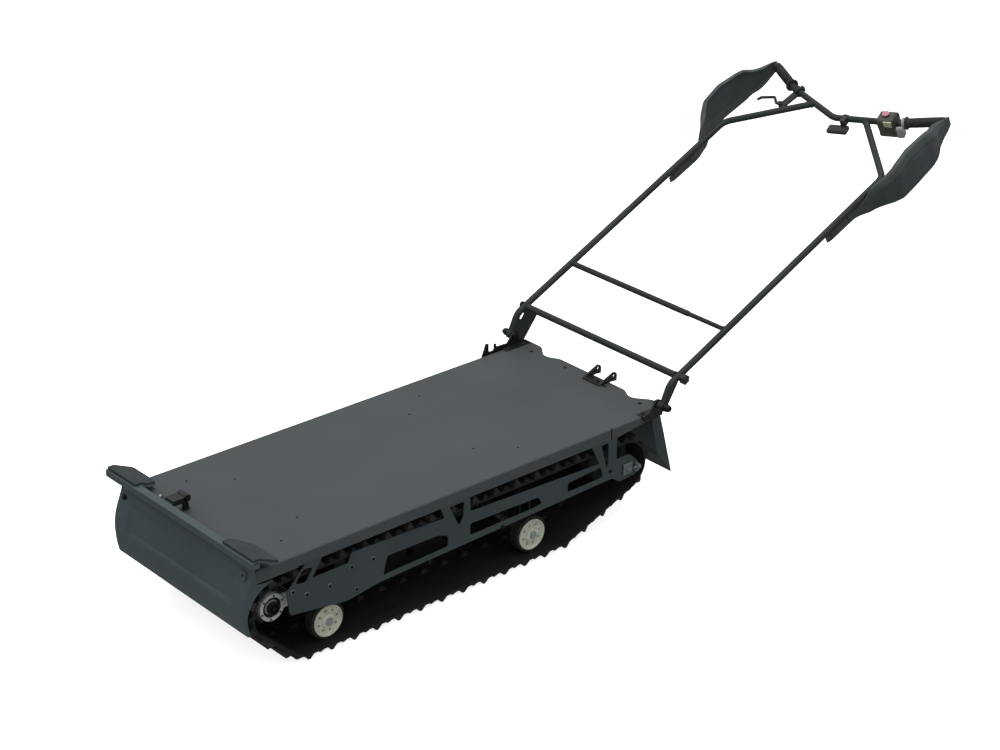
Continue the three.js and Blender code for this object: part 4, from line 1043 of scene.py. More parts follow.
shaft = [turned([(0, -SHAFT_END), (SHAFT_RADIUS, -SHAFT_END), (SHAFT_RADIUS, SHAFT_END), (0, SHAFT_END)],
                (0, DRIVE_Y, DRIVE_Z))]
for side in (-1, 1):
    collar = [(0, SHAFT_END - 6), (21, SHAFT_END - 6), (21, SHAFT_END - 1), (19.5, SHAFT_END), (8, SHAFT_END),
              (7, SHAFT_END - 2), (0, SHAFT_END - 2)]
    shaft.append(turned([(radius, side * x) for radius, x in collar], (0, DRIVE_Y, DRIVE_Z)))
    hub = [(SHAFT_RADIUS, SPROCKET_X - 8), (24, SPROCKET_X - 8), (24, SPROCKET_X - GAP),
           (SHAFT_RADIUS, SPROCKET_X - GAP)]
    shaft.append(turned([(radius, side * x) for radius, x in hub], (0, DRIVE_Y, DRIVE_Z)))
finish_piece("drive_shaft_turned", join(*shaft), carrier, "drive", "black_steel", black_screws, "drive_shaft")

teeth = []
for k in range(10):
    turn = 36 * k
    teeth += arc(DRIVE_Y, DRIVE_Z, END_RADIUS - 12, turn, turn + 9, 3)
    teeth += arc(DRIVE_Y, DRIVE_Z, END_RADIUS - 0.2, turn + 14, turn + 32, 4)
for side, mark in ((1, "left"), (-1, "right")):
    windows = [circle(DRIVE_Y + 44 * math.cos(t), DRIVE_Z + 44 * math.sin(t), 11, 20)
               for t in (math.radians(72 * k) for k in range(5))]
    span = sorted((side * SPROCKET_X, side * (SPROCKET_X + SPROCKET_WIDE)))
    bore = circle(DRIVE_Y, DRIVE_Z, SHAFT_RADIUS + 0.6, 28)
    sprocket = plate(teeth, span[0], span[1], holes=[bore] + windows, edge=1)
    finish_piece(
        f"drive_sprocket_{mark}_moulded", sprocket, carrier, "drive", "black_plastic", dark_plastic,
        f"drive_sprocket_{mark}",
    )

MOTOR_Y, MOTOR_Z = 205, 196
case = plate(
    arc(DRIVE_Y, DRIVE_Z, 40, 90, 270, 24) + arc(MOTOR_Y, MOTOR_Z, 56, -90, 90, 32),
    30,
    78,
    holes=[circle(DRIVE_Y, DRIVE_Z, SHAFT_RADIUS + 0.8, 28)],
    edge=3,
    segments=3,
)
fin_profile = [(0, -166), (36, -166), (36, -140), (46, -138)]
for k in range(13):
    x = -136 + 12.5 * k
    fin_profile += [(46, x), (50, x + 1), (50, x + 5), (46, x + 6)]
motor = turned(fin_profile + [(46, 30.5), (0, 30.5)], (0, MOTOR_Y, MOTOR_Z), steps=48)
arm = block(-60, 60, MOTOR_Y + 42, 379.5, MOTOR_Z - 14, MOTOR_Z + 14, 3)
CASE_BOLTS = ((40, 226), (90, 234), (160, 238), (245, 222), (245, 170), (160, 152), (90, 162), (40, 170))
case_bolts = [screw((77, y, z), "x", 5, 3) for y, z in CASE_BOLTS]
finish_piece("drive_motor_geared", join(case, motor, arm), carrier, "chassis", "black_plastic", dark_plastic,
             "drive_motor")
finish_piece("drive_motor_bolts", join(*case_bolts), carrier, "chassis", "black_steel", black_screws)

battery = join(
    block(-120, 120, 420.5, 929.5, 122, 232, 8),
    block(-121.5, 121.5, 440, 910, 196, 202, 1.5),
    plate(rounded([(560, 231), (566, 241), (584, 241), (590, 231)], 3), -60, 60, edge=1.5),
    *[block(-90, 90, 470 + 60 * k, 480 + 60 * k, 230, 235, 1.5) for k in (0, 3, 4, 5, 6, 7)],
)
finish_piece("battery_box_ribbed", battery, carrier, "chassis", "black_plastic", dark_plastic, "battery_box")


# Rear idler. Two waisted nylon wheels turn on a cross shaft that a plated block at each end holds in
# the side plate's slot; a screw through a bent bracket pushes each block back to tighten the belt.
IDLER_X = 200
SHAFT_BLOCK = DECK_HALF - SIDE_THICK - 16
for side, mark in ((1, "left"), (-1, "right")):
    profile = [(AXLE_RADIUS + 0.7, IDLER_X), (26, IDLER_X), (60, IDLER_X + 7), (END_RADIUS - 8, IDLER_X + 3),
               (END_RADIUS - 1, IDLER_X - 4), (END_RADIUS, IDLER_X - 2), (END_RADIUS, IDLER_X + 32),
               (END_RADIUS - 1, IDLER_X + 34), (END_RADIUS - 8, IDLER_X + 27), (60, IDLER_X + 23),
               (26, IDLER_X + 30), (AXLE_RADIUS + 0.7, IDLER_X + 30)]
    wheel = turned([(radius, side * x) for radius, x in profile], (0, IDLER_Y, IDLER_Z), steps=56)
    finish_piece(
        f"idler_wheel_{mark}_moulded",
        wheel,
        carrier,
        "idler",
        "black_plastic",
        dark_plastic,
        f"idler_wheel_{mark}",
    )
idler_shaft = [(0, -SHAFT_BLOCK - 1), (AXLE_RADIUS, -SHAFT_BLOCK - 1), (AXLE_RADIUS, SHAFT_BLOCK + 1),
               (0, SHAFT_BLOCK + 1)]
tension_parts = [turned(idler_shaft, (0, IDLER_Y, IDLER_Z))]
for side in (-1, 1):
    slider_cubes = [
        block(x0, x1, IDLER_Y - half, IDLER_Y + half, IDLER_Z - half, IDLER_Z + half, edge)
        for x0, x1, half, edge in (
            (SHAFT_BLOCK, DECK_HALF - SIDE_THICK - GAP, 20, 1.5),
            (DECK_HALF - 5, DECK_HALF + 1, 11.4, 0.4),
            (DECK_HALF + GAP, DECK_HALF + 6, 18, 2),
        )
    ]
    collar = turned(
        [(AXLE_RADIUS, IDLER_X - 14), (18, IDLER_X - 14), (18, IDLER_X - 0.6), (AXLE_RADIUS, IDLER_X - 0.6)],
        (0, IDLER_Y, IDLER_Z),
    )
    end_nut = hexagon(9, DECK_HALF + 5, DECK_HALF + 12, IDLER_Y, IDLER_Z)
    slider = join(*slider_cubes, end_nut, collar)
    tension_parts.append(on_side(slider, side))
finish_piece("tensioner_sliding", join(*tension_parts), carrier, "tensioner", "zinc", dull_zinc, "tensioner")
ADJUSTER_X = DECK_HALF + GAP
for side, mark in ((1, "left"), (-1, "right")):
    bracket = plate(
        rounded([(IDLER_Y + 30, IDLER_Z - 22), (IDLER_Y + 46, IDLER_Z - 22), (IDLER_Y + 46, IDLER_Z + 8),
                 (IDLER_Y + 30, IDLER_Z + 8)], 5),
        ADJUSTER_X,
        ADJUSTER_X + 4,
        edge=0.6,
    )
    tongue = block(ADJUSTER_X, ADJUSTER_X + 17, IDLER_Y + 30, IDLER_Y + 36, IDLER_Z - 12, IDLER_Z + 8, 1.2)
    rod_profile = [(0, IDLER_Y + 18.4)]
    for k in range(14):
        rod_profile += [(4.6, IDLER_Y + 18.6 + 2 * k), (3.8, IDLER_Y + 19.6 + 2 * k)]
    rod = turned(rod_profile + [(0, IDLER_Y + 47)], (ADJUSTER_X + 9, 0, IDLER_Z - 2), "y", 20)
    nut = plate(circle(ADJUSTER_X + 9, IDLER_Z - 2, 8.5, 6), IDLER_Y + 36, IDLER_Y + 44, "y", edge=1)
    finish_piece(
        f"track_adjuster_{mark}_screw",
        on_side(join(bracket, tongue, rod, nut), side),
        carrier,
        "chassis",
        "zinc",
        dull_zinc,
        f"track_adjuster_{mark}",
    )


# Rear apron. A folded steel mudguard that hangs behind the track from under the deck, with a side
# flange at each end, powder coated like the frame.
APRON_TOP_Y = DECK_REAR - 36
APRON_LOW_Y = DECK_REAR + 45
APRON_LOW_Z = 124
APRON_SHEET = 3
APRON_HALF = DECK_HALF - DECK_SHEET - GAP
APRON_SEAT = DECK_TOP - DECK_SHEET - GAP
web_line = eased([(APRON_TOP_Y - 34, APRON_SEAT), (APRON_TOP_Y + 4, APRON_SEAT), (APRON_TOP_Y + 18, 347),
                  (APRON_TOP_Y + 27, 333), (APRON_LOW_Y, APRON_LOW_Z)], 2)


def apron_place(column, row):
    x = (-1 + 2 * column / 12) * (APRON_HALF - 0.2)
    y, z = web_line[row]
    before, after = web_line[max(row - 1, 0)], web_line[min(row + 1, len(web_line) - 1)]
    run = Vector((after[0] - before[0], after[1] - before[1])).normalized()
    inboard = 1 - step(abs(x), APRON_HALF - 40, APRON_HALF - 32)
    swage = 3 * step(z, 150, 158) * (1 - step(z, 168, 176)) * inboard
    return Vector((x, y + run.y * swage, z - run.x * swage))


rows = [web_line[0]]
for a, b in zip(web_line, web_line[1:]):
    pieces = max(1, round(math.dist(a, b) / 6))
    rows += [tuple(p + (q - p) * k / pieces for p, q in zip(a, b)) for k in range(1, pieces + 1)]
web_line = rows
apron = formed(12, len(web_line) - 1, apron_place)
bmesh.ops.recalc_face_normals(apron, faces=apron.faces)
rear_face = max(apron.faces, key=lambda f: f.calc_center_median().y)
if rear_face.normal.y < 0:
    bmesh.ops.reverse_faces(apron, faces=apron.faces)
bmesh.ops.solidify(apron, geom=apron.faces[:], thickness=APRON_SHEET)
apron_side = plate(
    rounded([(APRON_TOP_Y + 26, 333, 3), (APRON_LOW_Y - 1, APRON_LOW_Z, 1),
             (APRON_LOW_Y - 24, APRON_LOW_Z + 34, 6), (APRON_TOP_Y + 18, 208, 16),
             (APRON_TOP_Y - 4, 300, 12), (APRON_TOP_Y - 8, 331, 6)], 6),
    APRON_HALF - APRON_SHEET,
    APRON_HALF,
    edge=0.6,
)
finish_piece(
    "rear_apron_folded",
    join(apron, apron_side, flipped(apron_side.copy())),
    carrier,
    "chassis",
    "frame_paint",
    frame_paint,
    "rear_apron",
)
apron_screws = [screw((x, APRON_TOP_Y + 4, DECK_TOP - 0.5), "z", 6, 2.8) for x in (-250, -90, 90, 250)]
finish_piece("apron_screws", join(*apron_screws), carrier, "chassis", "black_steel", black_screws)


# Tow hitch. Two black steel ears with a cross hole for the pin, welded to a plate at the middle of
# the deck's rear edge and bolted down.
HITCH_Y, HITCH_Z = DECK_REAR + 19, DECK_TOP + 17
ear = plate(
    [(DECK_REAR - 46, DECK_TOP + GAP), (DECK_REAR + 14, DECK_TOP + GAP), (DECK_REAR + 30, DECK_TOP - 2)]
    + arc(HITCH_Y, HITCH_Z, 12, -10, 130, 16)
    + [(DECK_REAR - 40, DECK_TOP + 5)],
    -4,
    4,
    holes=[circle(HITCH_Y, HITCH_Z, 5.5, 24)],
    edge=0.9,
)
hitch = join(
    moved(ear.copy(), Matrix.Translation((6, 0, 0))),
    moved(ear.copy(), Matrix.Translation((78, 0, 0))),
    block(4, 80, DECK_REAR - 45, DECK_REAR - 12, DECK_TOP + GAP, DECK_TOP + 4.5, 0.8),
)
finish_piece("tow_hitch_welded", hitch, carrier, "chassis", "black_steel", black_coat, "tow_hitch")
hitch_bolts = [screw((x, DECK_REAR - 29, DECK_TOP + 4.4), "z", 6.5, 4.5) for x in (26, 58)]
finish_piece("tow_hitch_bolts", join(*hitch_bolts), carrier, "chassis", "black_steel", black_screws)
ear.free()


# Handle pivots. A black steel bracket on each rear corner of the deck carries the handle's pivot pin;
# the right one has an open notch that catches the lower crossbar when the handle is folded.
PIVOT_Y, PIVOT_Z = DECK_REAR - 34, DECK_TOP + 29
PIVOT_X0 = DECK_HALF + 4
PIVOT_X1 = PIVOT_X0 + 6
TUBE_HALF = DECK_HALF + 28
TUBE_RADIUS = 11
TUBE_OUTSIDE = TUBE_HALF + TUBE_RADIUS
TUBE_RISE = 45.6
LOWER_BAR_S = 90.7
reach = math.hypot(LOWER_BAR_S, TUBE_RISE)
fold_rest = math.radians(7.3)
notch_y = PIVOT_Y - reach * math.cos(fold_rest)
notch_radius = TUBE_RADIUS + 1
notch_floor = PIVOT_Z - reach * math.sin(fold_rest) - notch_radius
plate_low = DECK_TOP - 13
pivot_hub = arc(PIVOT_Y, PIVOT_Z, 15, -40, 130, 18) + [(PIVOT_Y - 34, DECK_TOP + 12)]
plain_outline = [(PIVOT_Y - 62, DECK_TOP + 4), (PIVOT_Y - 54, plate_low), (DECK_REAR - 14, plate_low),
                 (DECK_REAR - 14, DECK_TOP + GAP), (TAB_Y - 4, DECK_TOP + GAP)] + pivot_hub
catch_outline = (
    [(notch_y - notch_radius - 30, plate_low), (DECK_REAR - 14, plate_low), (DECK_REAR - 14, DECK_TOP + GAP),
     (TAB_Y - 4, DECK_TOP + GAP)]
    + pivot_hub
    + [(notch_y + notch_radius + 9, DECK_TOP + 14), (notch_y + notch_radius + 7, DECK_TOP + 26),
       (notch_y + notch_radius, DECK_TOP + 26), (notch_y + notch_radius, notch_floor + 5),
       (notch_y + notch_radius - 5, notch_floor), (notch_y - notch_radius + 5, notch_floor),
       (notch_y - notch_radius, notch_floor + 5), (notch_y - notch_radius, DECK_TOP + 34),
       (notch_y - notch_radius - 10, DECK_TOP + 36)]
)
for side, mark, outline in ((1, "left", plain_outline), (-1, "right", catch_outline)):
    cheek = plate(outline, PIVOT_X0, PIVOT_X1, holes=[circle(PIVOT_Y, PIVOT_Z, 7.5, 28)], edge=0.9)
    foot = block(DECK_HALF - 22, PIVOT_X1, PIVOT_Y - 60, TAB_Y - 4, DECK_TOP + GAP, DECK_TOP + 2.7, 0.6)
    bolts = [screw((DECK_HALF - 12, PIVOT_Y + y, DECK_TOP + 2.6), "z", 6.5, 4.5) for y in (-44, 18)]
    bolts.append(screw((PIVOT_X1, PIVOT_Y - 30, DECK_TOP - 4), "x", 6, 4))
    bracket = join(cheek, foot, *bolts)
    pin = turned(
        [(0, PIVOT_X0 - 6), (11, PIVOT_X0 - 6), (12, PIVOT_X0 - 5), (12, PIVOT_X0 - 0.4), (7, PIVOT_X0 - 0.4),
         (7, TUBE_OUTSIDE + 1), (12, TUBE_OUTSIDE + 1), (12.5, TUBE_OUTSIDE + 3), (12, TUBE_OUTSIDE + 11),
         (9, TUBE_OUTSIDE + 20), (0, TUBE_OUTSIDE + 21)],
        (0, PIVOT_Y, PIVOT_Z),
    )
    bracket, pin = on_side(bracket, side), on_side(pin, side)
    finish_piece(
        f"pivot_bracket_{mark}_welded",
        bracket,
        carrier,
        "chassis",
        "black_steel",
        black_coat,
        f"pivot_bracket_{mark}",
    )
    finish_piece(f"pivot_pin_{mark}_turned", pin, carrier, "chassis", "zinc", black_screws, f"pivot_pin_{mark}")


# Handle frame. Bent steel tube with welded crossbars, on one pivot line at the rear of the deck; it is
# drawn in its own frame, across, along and square to the handle's plane, from the pivot line.
HANDLE_LEAN = 25.45
handle_space = (
    carrier
    @ Matrix.Translation((0, PIVOT_Y, PIVOT_Z))
    @ Matrix.Rotation(math.radians(HANDLE_LEAN), 4, "X")
)
LEG_BEND_S, LEG_END_S = 1075, 1273.7
UPPER_BAR_S = 312.7
BAR_MIDDLE_S = 1245
BAR_BEND_X, BAR_BEND_RISE = 232, 66
BAR_END_X = 367
BAR_END_SLOPE = 67 / 137


def bar_at(x):
    """Distance along the handle of the handlebar's centre line, a shallow V with steeper ends."""
    x = abs(x)
    if x < BAR_BEND_X:
        return BAR_MIDDLE_S + BAR_BEND_RISE * x / BAR_BEND_X
    return BAR_MIDDLE_S + BAR_BEND_RISE + BAR_END_SLOPE * (x - BAR_BEND_X)


def bent_line(corners, bend, steps=9):
    """A centre line through its corners, each turned on a bend of this radius."""
    points = [Vector(corners[0])]
    for before, here, after in zip(corners, corners[1:], corners[2:]):
        here = Vector(here)
        back, ahead = (Vector(before) - here).normalized(), (Vector(after) - here).normalized()
        half = back.angle(ahead) / 2
        cut = bend / math.tan(half)
        centre = here + (back + ahead).normalized() * (bend / math.sin(half))
        start, end = here + back * cut - centre, here + ahead * cut - centre
        for k in range(steps + 1):
            points.append(centre + start.slerp(end, k / steps).normalized() * bend)
    return points + [Vector(corners[-1])]


def tube(line, radius, sides=24, cap=1.0):
    """A round bar swept along a line, with its ends eased."""
    spine = [Vector(p) for p in line]
    ahead = [(b - a).normalized() for a, b in zip(spine, spine[1:])]
    rings = [(spine[0], ahead[0], radius - cap), (spine[0] + ahead[0] * cap, ahead[0], radius)]
    for before, here, after in zip(ahead, spine[1:-1], ahead[1:]):
        rings.append((here, (before + after).normalized(), radius))
    rings += [(spine[-1] - ahead[-1] * cap, ahead[-1], radius), (spine[-1], ahead[-1], radius - cap)]
    aside = ahead[0].orthogonal().normalized()
    loops = []
    for middle, along, size in rings:
        aside = (aside - along * aside.dot(along)).normalized()
        up = along.cross(aside)
        turns = [2 * math.pi * k / sides for k in range(sides)]
        loops.append([middle + (aside * math.cos(t) + up * math.sin(t)) * size for t in turns])
    return closed_form(sides, len(loops) - 1, lambda column, row: loops[row][column % sides])


def weld_bead(middle, axis, radius, height=2.6, ripples=24):
    """The rippled fillet round a tube where it meets another."""
    along = Vector(axis).normalized()
    aside = along.orthogonal().normalized()
    up = along.cross(aside)
    around, section = ripples * 3, 8

    def place(column, row):
        turn = 2 * math.pi * (row % around) / around
        swell = height * (1 + 0.22 * math.cos(turn * ripples))
        tilt = 2 * math.pi * (column % section) / section
        out = aside * math.cos(turn) + up * math.sin(turn)
        return Vector(middle) + out * (radius + swell * math.cos(tilt)) + along * (swell * math.sin(tilt))

    return closed_form(section, around, place)


tube_paint = powder_coat("near-black satin powder coat on tube", "#272B2D", "#33383A", 0.42)
leg_end_x = 115
for side, mark in ((1, "left"), (-1, "right")):
    line = bent_line(
        [(side * TUBE_HALF, -11, -9.3), (side * TUBE_HALF, 54.15, TUBE_RISE),
         (side * TUBE_HALF, LEG_BEND_S, TUBE_RISE), (side * leg_end_x, LEG_END_S, TUBE_RISE)],
        50,
    )
    leg = tube(line, TUBE_RADIUS)
    towards_bar = Vector((side * (leg_end_x - TUBE_HALF), LEG_END_S - LEG_BEND_S, 0)).normalized()
    leg_end = Vector((side * leg_end_x, LEG_END_S, TUBE_RISE))
    bead = weld_bead(leg_end - towards_bar * 7, towards_bar, TUBE_RADIUS - 0.6)
    finish_piece(
        f"handle_tube_{mark}_bent", join(leg, bead), handle_space, "handle", "tube_paint", tube_paint,
        f"handle_tube_{mark}",
    )
bar_line = bent_line(
    [(x, bar_at(x), TUBE_RISE) for x in (-BAR_END_X, -BAR_BEND_X, 0, BAR_BEND_X, BAR_END_X)], 60
)
finish_piece(
    "handlebar_bent", tube(bar_line, TUBE_RADIUS), handle_space, "handle", "tube_paint", tube_paint, "handlebar"
)

# The two gussets stiffen the legs at the pivot: a slim web on the left, a slotted plate on the right.
slotted_outline = rounded(
    [(-10, -14, 9), (22, -60, 5), (34, -58, 6), (122, -15, 6), (124, -5, 4), (96, TUBE_RISE, 10),
     (40, TUBE_RISE, 10)],
    6,
)
gusset_holes = [rounded([(50, 20), (58, 15), (76, 24), (74, 31), (58, 28)], 3, 3), circle(0, 0, 8, 28)]
slim_outline = rounded([(4, -6, 3), (12, -16, 5), (84, 30, 8), (86, 43.6, 3), (50, 41.6, 8)], 4)
slotted_web = plate(slotted_outline, TUBE_HALF - 2, TUBE_HALF + 2, holes=gusset_holes, edge=0.8)
slim_web = plate(slim_outline, TUBE_HALF - 2, TUBE_HALF + 2, edge=0.8)
for side, mark, web in ((1, "left", slim_web), (-1, "right", slotted_web)):
    boss = turned([(8, TUBE_HALF - 13), (13, TUBE_HALF - 13), (14, TUBE_HALF - 12), (14, TUBE_HALF + 9),
                   (13, TUBE_HALF + 10), (8, TUBE_HALF + 10)], (0, 0, 0))
    seam = tube([(TUBE_HALF + 2.6, s, TUBE_RISE - 10.6) for s in range(60, 84, 2)], 2.0, 8, 0.6)
    gusset = join(web, boss, seam)
    if side < 0:
        gusset = join(gusset, screw((TUBE_HALF + 2, 30, -36), "x", 6, 4))
    finish_piece(
        f"gusset_{mark}_welded",
        on_side(gusset, side),
        handle_space,
        "handle",
        "tube_paint",
        tube_paint,
        f"gusset_{mark}",
    )

# The lower crossbar has a tie rod through it with a washer outside each leg, and the upper crossbar
# a sleeve over most of its length; both are welded in, so a bead runs round each end.
bar_inner = TUBE_HALF - TUBE_RADIUS - GAP
TIE_HALF, TIE_RADIUS = 370, 6
lower = tube([(x, LOWER_BAR_S, TUBE_RISE) for x in (-bar_inner, bar_inner)], TUBE_RADIUS)
tie = tube([(x, LOWER_BAR_S, TUBE_RISE) for x in (-TIE_HALF, TIE_HALF)], TIE_RADIUS)
lower_parts = [lower, tie]
for side in (-1, 1):
    face = side * (TUBE_OUTSIDE + GAP)
    washer = turned(
        [(TIE_RADIUS, face), (10, face), (11, face + side), (11, face + side * 4.7), (10, face + side * 5.7),
         (TIE_RADIUS, face + side * 5.7)],
        (0, LOWER_BAR_S, TUBE_RISE),
    )
    lower_parts.append(washer)
    bead_middle = (side * (bar_inner - 1), LOWER_BAR_S, TUBE_RISE)
    lower_parts.append(weld_bead(bead_middle, (1, 0, 0), TUBE_RADIUS - 0.6, 2.2))
finish_piece("lower_crossbar_welded", join(*lower_parts), handle_space, "handle", "tube_paint", tube_paint,
             "lower_crossbar")
UPPER_BAR_RADIUS = 7.6
upper_half = TUBE_HALF - TUBE_RADIUS + 0.9
upper = tube([(x, UPPER_BAR_S, TUBE_RISE) for x in (-upper_half, upper_half)], UPPER_BAR_RADIUS)
sleeve = turned(
    [(UPPER_BAR_RADIUS, -330), (9, -330), (9.5, -329), (9.5, 188), (8.6, 190), (UPPER_BAR_RADIUS, 190)],
    (0, UPPER_BAR_S, TUBE_RISE),
    steps=28,
)
upper_beads = [
    weld_bead((side * (TUBE_HALF - TUBE_RADIUS - 1), UPPER_BAR_S, TUBE_RISE), (1, 0, 0), 7.2, 2)
    for side in (-1, 1)
]
finish_piece(
    "upper_crossbar_sleeved",
    join(upper, sleeve, *upper_beads),
    handle_space,
    "handle",
    "tube_paint",
    tube_paint,
    "upper_crossbar",
)

# The knob that clamps the lower crossbar: six lobes round a plain collar.
knob_from = TUBE_OUTSIDE + 6.3
lobes = []
for k in range(72):
    turn = 2 * math.pi * k / 72
    size = 15.4 + 1.6 * math.cos(6 * turn)
    lobes.append((LOWER_BAR_S + size * math.cos(turn), TUBE_RISE + size * math.sin(turn)))
knob = join(
    plate(lobes, knob_from + 4, knob_from + 17, edge=1.4, segments=3),
    turned([(0, knob_from), (12, knob_from), (13, knob_from + 1), (13, knob_from + 5), (0, knob_from + 5)],
           (0, LOWER_BAR_S, TUBE_RISE)),
    turned([(0, knob_from + 16), (12, knob_from + 16), (11, knob_from + 19), (7, knob_from + 20),
            (0, knob_from + 20)], (0, LOWER_BAR_S, TUBE_RISE)),
)
finish_piece(
    "crossbar_knob_lobed",
    knob,
    handle_space,
    "crossbar_knob",
    "black_plastic",
    dark_plastic,
    "crossbar_knob",
)


# Grips. Black rubber sleeves on the ends of the handlebar, with a flange at the inner end and rows of
# fine rings where the hand goes.
grip_rubber = moulded_rubber("black grip rubber", "#222526", "#303335", 0.66)
GRIP_LENGTH = 129.1
GRIP_FROM = 250
outer_turn = math.atan(BAR_END_SLOPE)
inner_turn = math.atan2(BAR_BEND_RISE, BAR_BEND_X)


def on_bar(x, turn):
    """Where a part drawn along its own x sits on the handlebar at this x, turned as the bar is there."""
    return Matrix.Translation((x, bar_at(x), TUBE_RISE)) @ Matrix.Rotation(turn, 4, "Z")


grip_profile = [(11.45, 0), (21, 0), (22, 1), (22, 4), (21, 5), (17, 5.6), (16, 7)]
for k in range(22):
    x = 13 + 5 * k
    ring = 16.4 if 4 <= k <= 17 else 16
    grip_profile += [(ring, x), (ring, x + 3.2), (ring - 1.3, x + 3.7), (ring - 1.3, x + 4.5)]
grip_profile += [(16, GRIP_LENGTH - 4), (15.2, GRIP_LENGTH - 1), (14, GRIP_LENGTH), (11.45, GRIP_LENGTH)]
for side, mark in ((1, "left"), (-1, "right")):
    grip = on_side(moved(turned(grip_profile), on_bar(GRIP_FROM, outer_turn)), side)
    finish_piece(f"grip_{mark}_ringed", grip, handle_space, "handle", "rubber", grip_rubber, f"grip_{mark}")


# Hand guards. Tall moulded shields outside the grips that sweep down to two straps on the handle tube;
# the long edges curl in, a rim folds over along the upper one, and a groove frames a bare panel.
guard_plastic, _ = mottled(
    "dark grey polypropylene, fine texture",
    0.48,
    0.0,
    (70, 3.0, 0.34, 0.68),
    "#333A3C",
    "#3F4648",
    (1.5, 0.08, 0.5, 3.0),
)
GUARD_THICK = 4
# Each row: across, along the handle, and the guard's lower and upper edge from the tube's middle.
GUARD = (
    (374, 1386, -16, 18), (399, 1297, -44, 46), (416, 1270, -50, 62), (421, 1240, -56, 69),
    (428, 1152, -56, 80), (431, 1073, -56, 66), (416, 1040, -55, 48), (377, 992, -53, 28),
    (368, 970, -52, 6), (361, 955, -49, -4), (353, 937, -46, -12), (348, 915, -44, -13.5),
    (348, 800, -42, -14), (348, 787, -37, -19),
)
spread = [Vector(row) for row in GUARD]
stations = []
for a, b in zip(spread, spread[1:]):
    pieces = max(1, round(math.hypot(b[0] - a[0], b[1] - a[1]) / 6))
    stations += [a.lerp(b, k / pieces) for k in range(pieces)]
stations.append(spread[-1])
for _ in range(2):
    stations = [stations[0]] + [
        a * 0.25 + b * 0.5 + c * 0.25 for a, b, c in zip(stations, stations[1:], stations[2:])
    ] + [stations[-1]]
ACROSS = 40


def guard_relief(s, t, up, low, high):
    """How far the guard's face stands in from its outermost line: curled edges and a framed panel."""
    body = step(s, 965, 1030) * (1 - step(s, 1315, 1375))
    curl = 12 * step(t, 0.52, 1.15) + 9 * step(-t, 0.62, 1.15)
    panel = step(s, 1050, 1062) * (1 - step(s, 1252, 1264))
    panel *= step(up, low + 20, low + 24) * (1 - step(up, high - 34, high - 30))
    frame = step(s, 1034, 1040) * (1 - step(s, 1274, 1280))
    frame *= step(up, low + 13, low + 15) * (1 - step(up, high - 27, high - 25))
    return curl * body + 2.4 * (frame - panel) * body


def guard_loop(index):
    x, s, low, high = stations[index]
    before, after = stations[max(index - 1, 0)], stations[min(index + 1, len(stations) - 1)]
    run = Vector((after[0] - before[0], after[1] - before[1])).normalized()
    out = Vector((-run.y, run.x)) if run.y < 0 else Vector((run.y, -run.x))
    middle, half = (low + high) / 2, (high - low) / 2
    inner, outer = [], []
    for k in range(ACROSS + 1):
        t = -1 + 2 * k / ACROSS
        up = middle + half * t
        relief = guard_relief(s, t, up, low, high)
        corner = 1.0 if k in (0, ACROSS) else 0
        inner.append(Vector((x + out.x * (corner - relief), s + out.y * (corner - relief), TUBE_RISE + up)))
        reach = GUARD_THICK - relief - corner
        outer.append(Vector((x + out.x * reach, s + out.y * reach, TUBE_RISE + up)))
    fold = inner[-1] - Vector((out.x, out.y, 0)) * (0.5 + 13 * step(s, 975, 1040) * (1 - step(s, 1325, 1380)))
    return inner[:-1] + [inner[-2] + (fold - inner[-1]), fold] + outer[::-1]


guard_loops = [guard_loop(i) for i in range(len(stations))]
around = len(guard_loops[0])
guard = closed_form(around, len(stations) - 1, lambda column, row: guard_loops[row][column % around])
cap = moved(
    turned([(0, 1), (13.4, 1), (15, 2.4), (15, 7), (13.6, 9), (6, 9.6), (5, 8.6), (0, 8.6)], steps=36),
    on_bar(BAR_END_X, outer_turn),
)
straps = []
for s0 in (806, 890):
    clip = plate(
        rounded([(s0, TUBE_RISE - 24, 3), (s0 + 14, TUBE_RISE - 24, 3), (s0 + 14, TUBE_RISE - 11.3, 1),
                 (s0, TUBE_RISE - 11.3, 1)], 3),
        TUBE_HALF - 6,
        TUBE_HALF + 6,
        edge=0.8,
    )
    straps.append(clip)
    straps.append(screw((TUBE_HALF + 1.8, s0 + 7, TUBE_RISE - 28), "x", 5, 2.6))
whole_guard = join(guard, cap, *straps)
for side, mark in ((1, "left"), (-1, "right")):
    finish_piece(
        f"hand_guard_{mark}_moulded",
        on_side(whole_guard.copy(), side),
        handle_space,
        "handle",
        "black_plastic",
        guard_plastic,
        f"hand_guard_{mark}",
    )
whole_guard.free()


# Brake lever. A split clamp on the right half of the handlebar holds a bracket, and a forged cranked
# lever swings on a pin through it, in front of the grip.
PERCH_X = 208
perch_clamp = turned(
    [(TUBE_RADIUS + GAP, -11), (16, -11), (17, -10), (17, -1), (16, -0.4), (16, 0.4), (17, 1), (17, 10),
     (16, 11), (TUBE_RADIUS + GAP, 11)],
    steps=36,
)
perch_clamp = moved(perch_clamp, on_bar(PERCH_X, inner_turn))
perch_plate = plate(
    rounded([(194, bar_at(194) - 12), (220, bar_at(220) - 8), (226, 1226), (216, 1206), (202, 1210)], 7),
    TUBE_RISE - 4,
    TUBE_RISE + 4,
    "z",
    edge=1,
)
clamp_lugs = moved(
    join(block(-7, 7, 14, 23, -9, -1, 1.5), block(-7, 7, 14, 23, 1, 9, 1.5), screw((0, 18, 8.5), "z", 4, 4)),
    on_bar(PERCH_X, inner_turn),
)
finish_piece(
    "lever_perch_clamp",
    flipped(join(perch_clamp, perch_plate, clamp_lugs)),
    handle_space,
    "handle",
    "tube_paint",
    tube_paint,
    "lever_perch",
)
lever_height = TUBE_RISE + 9.4
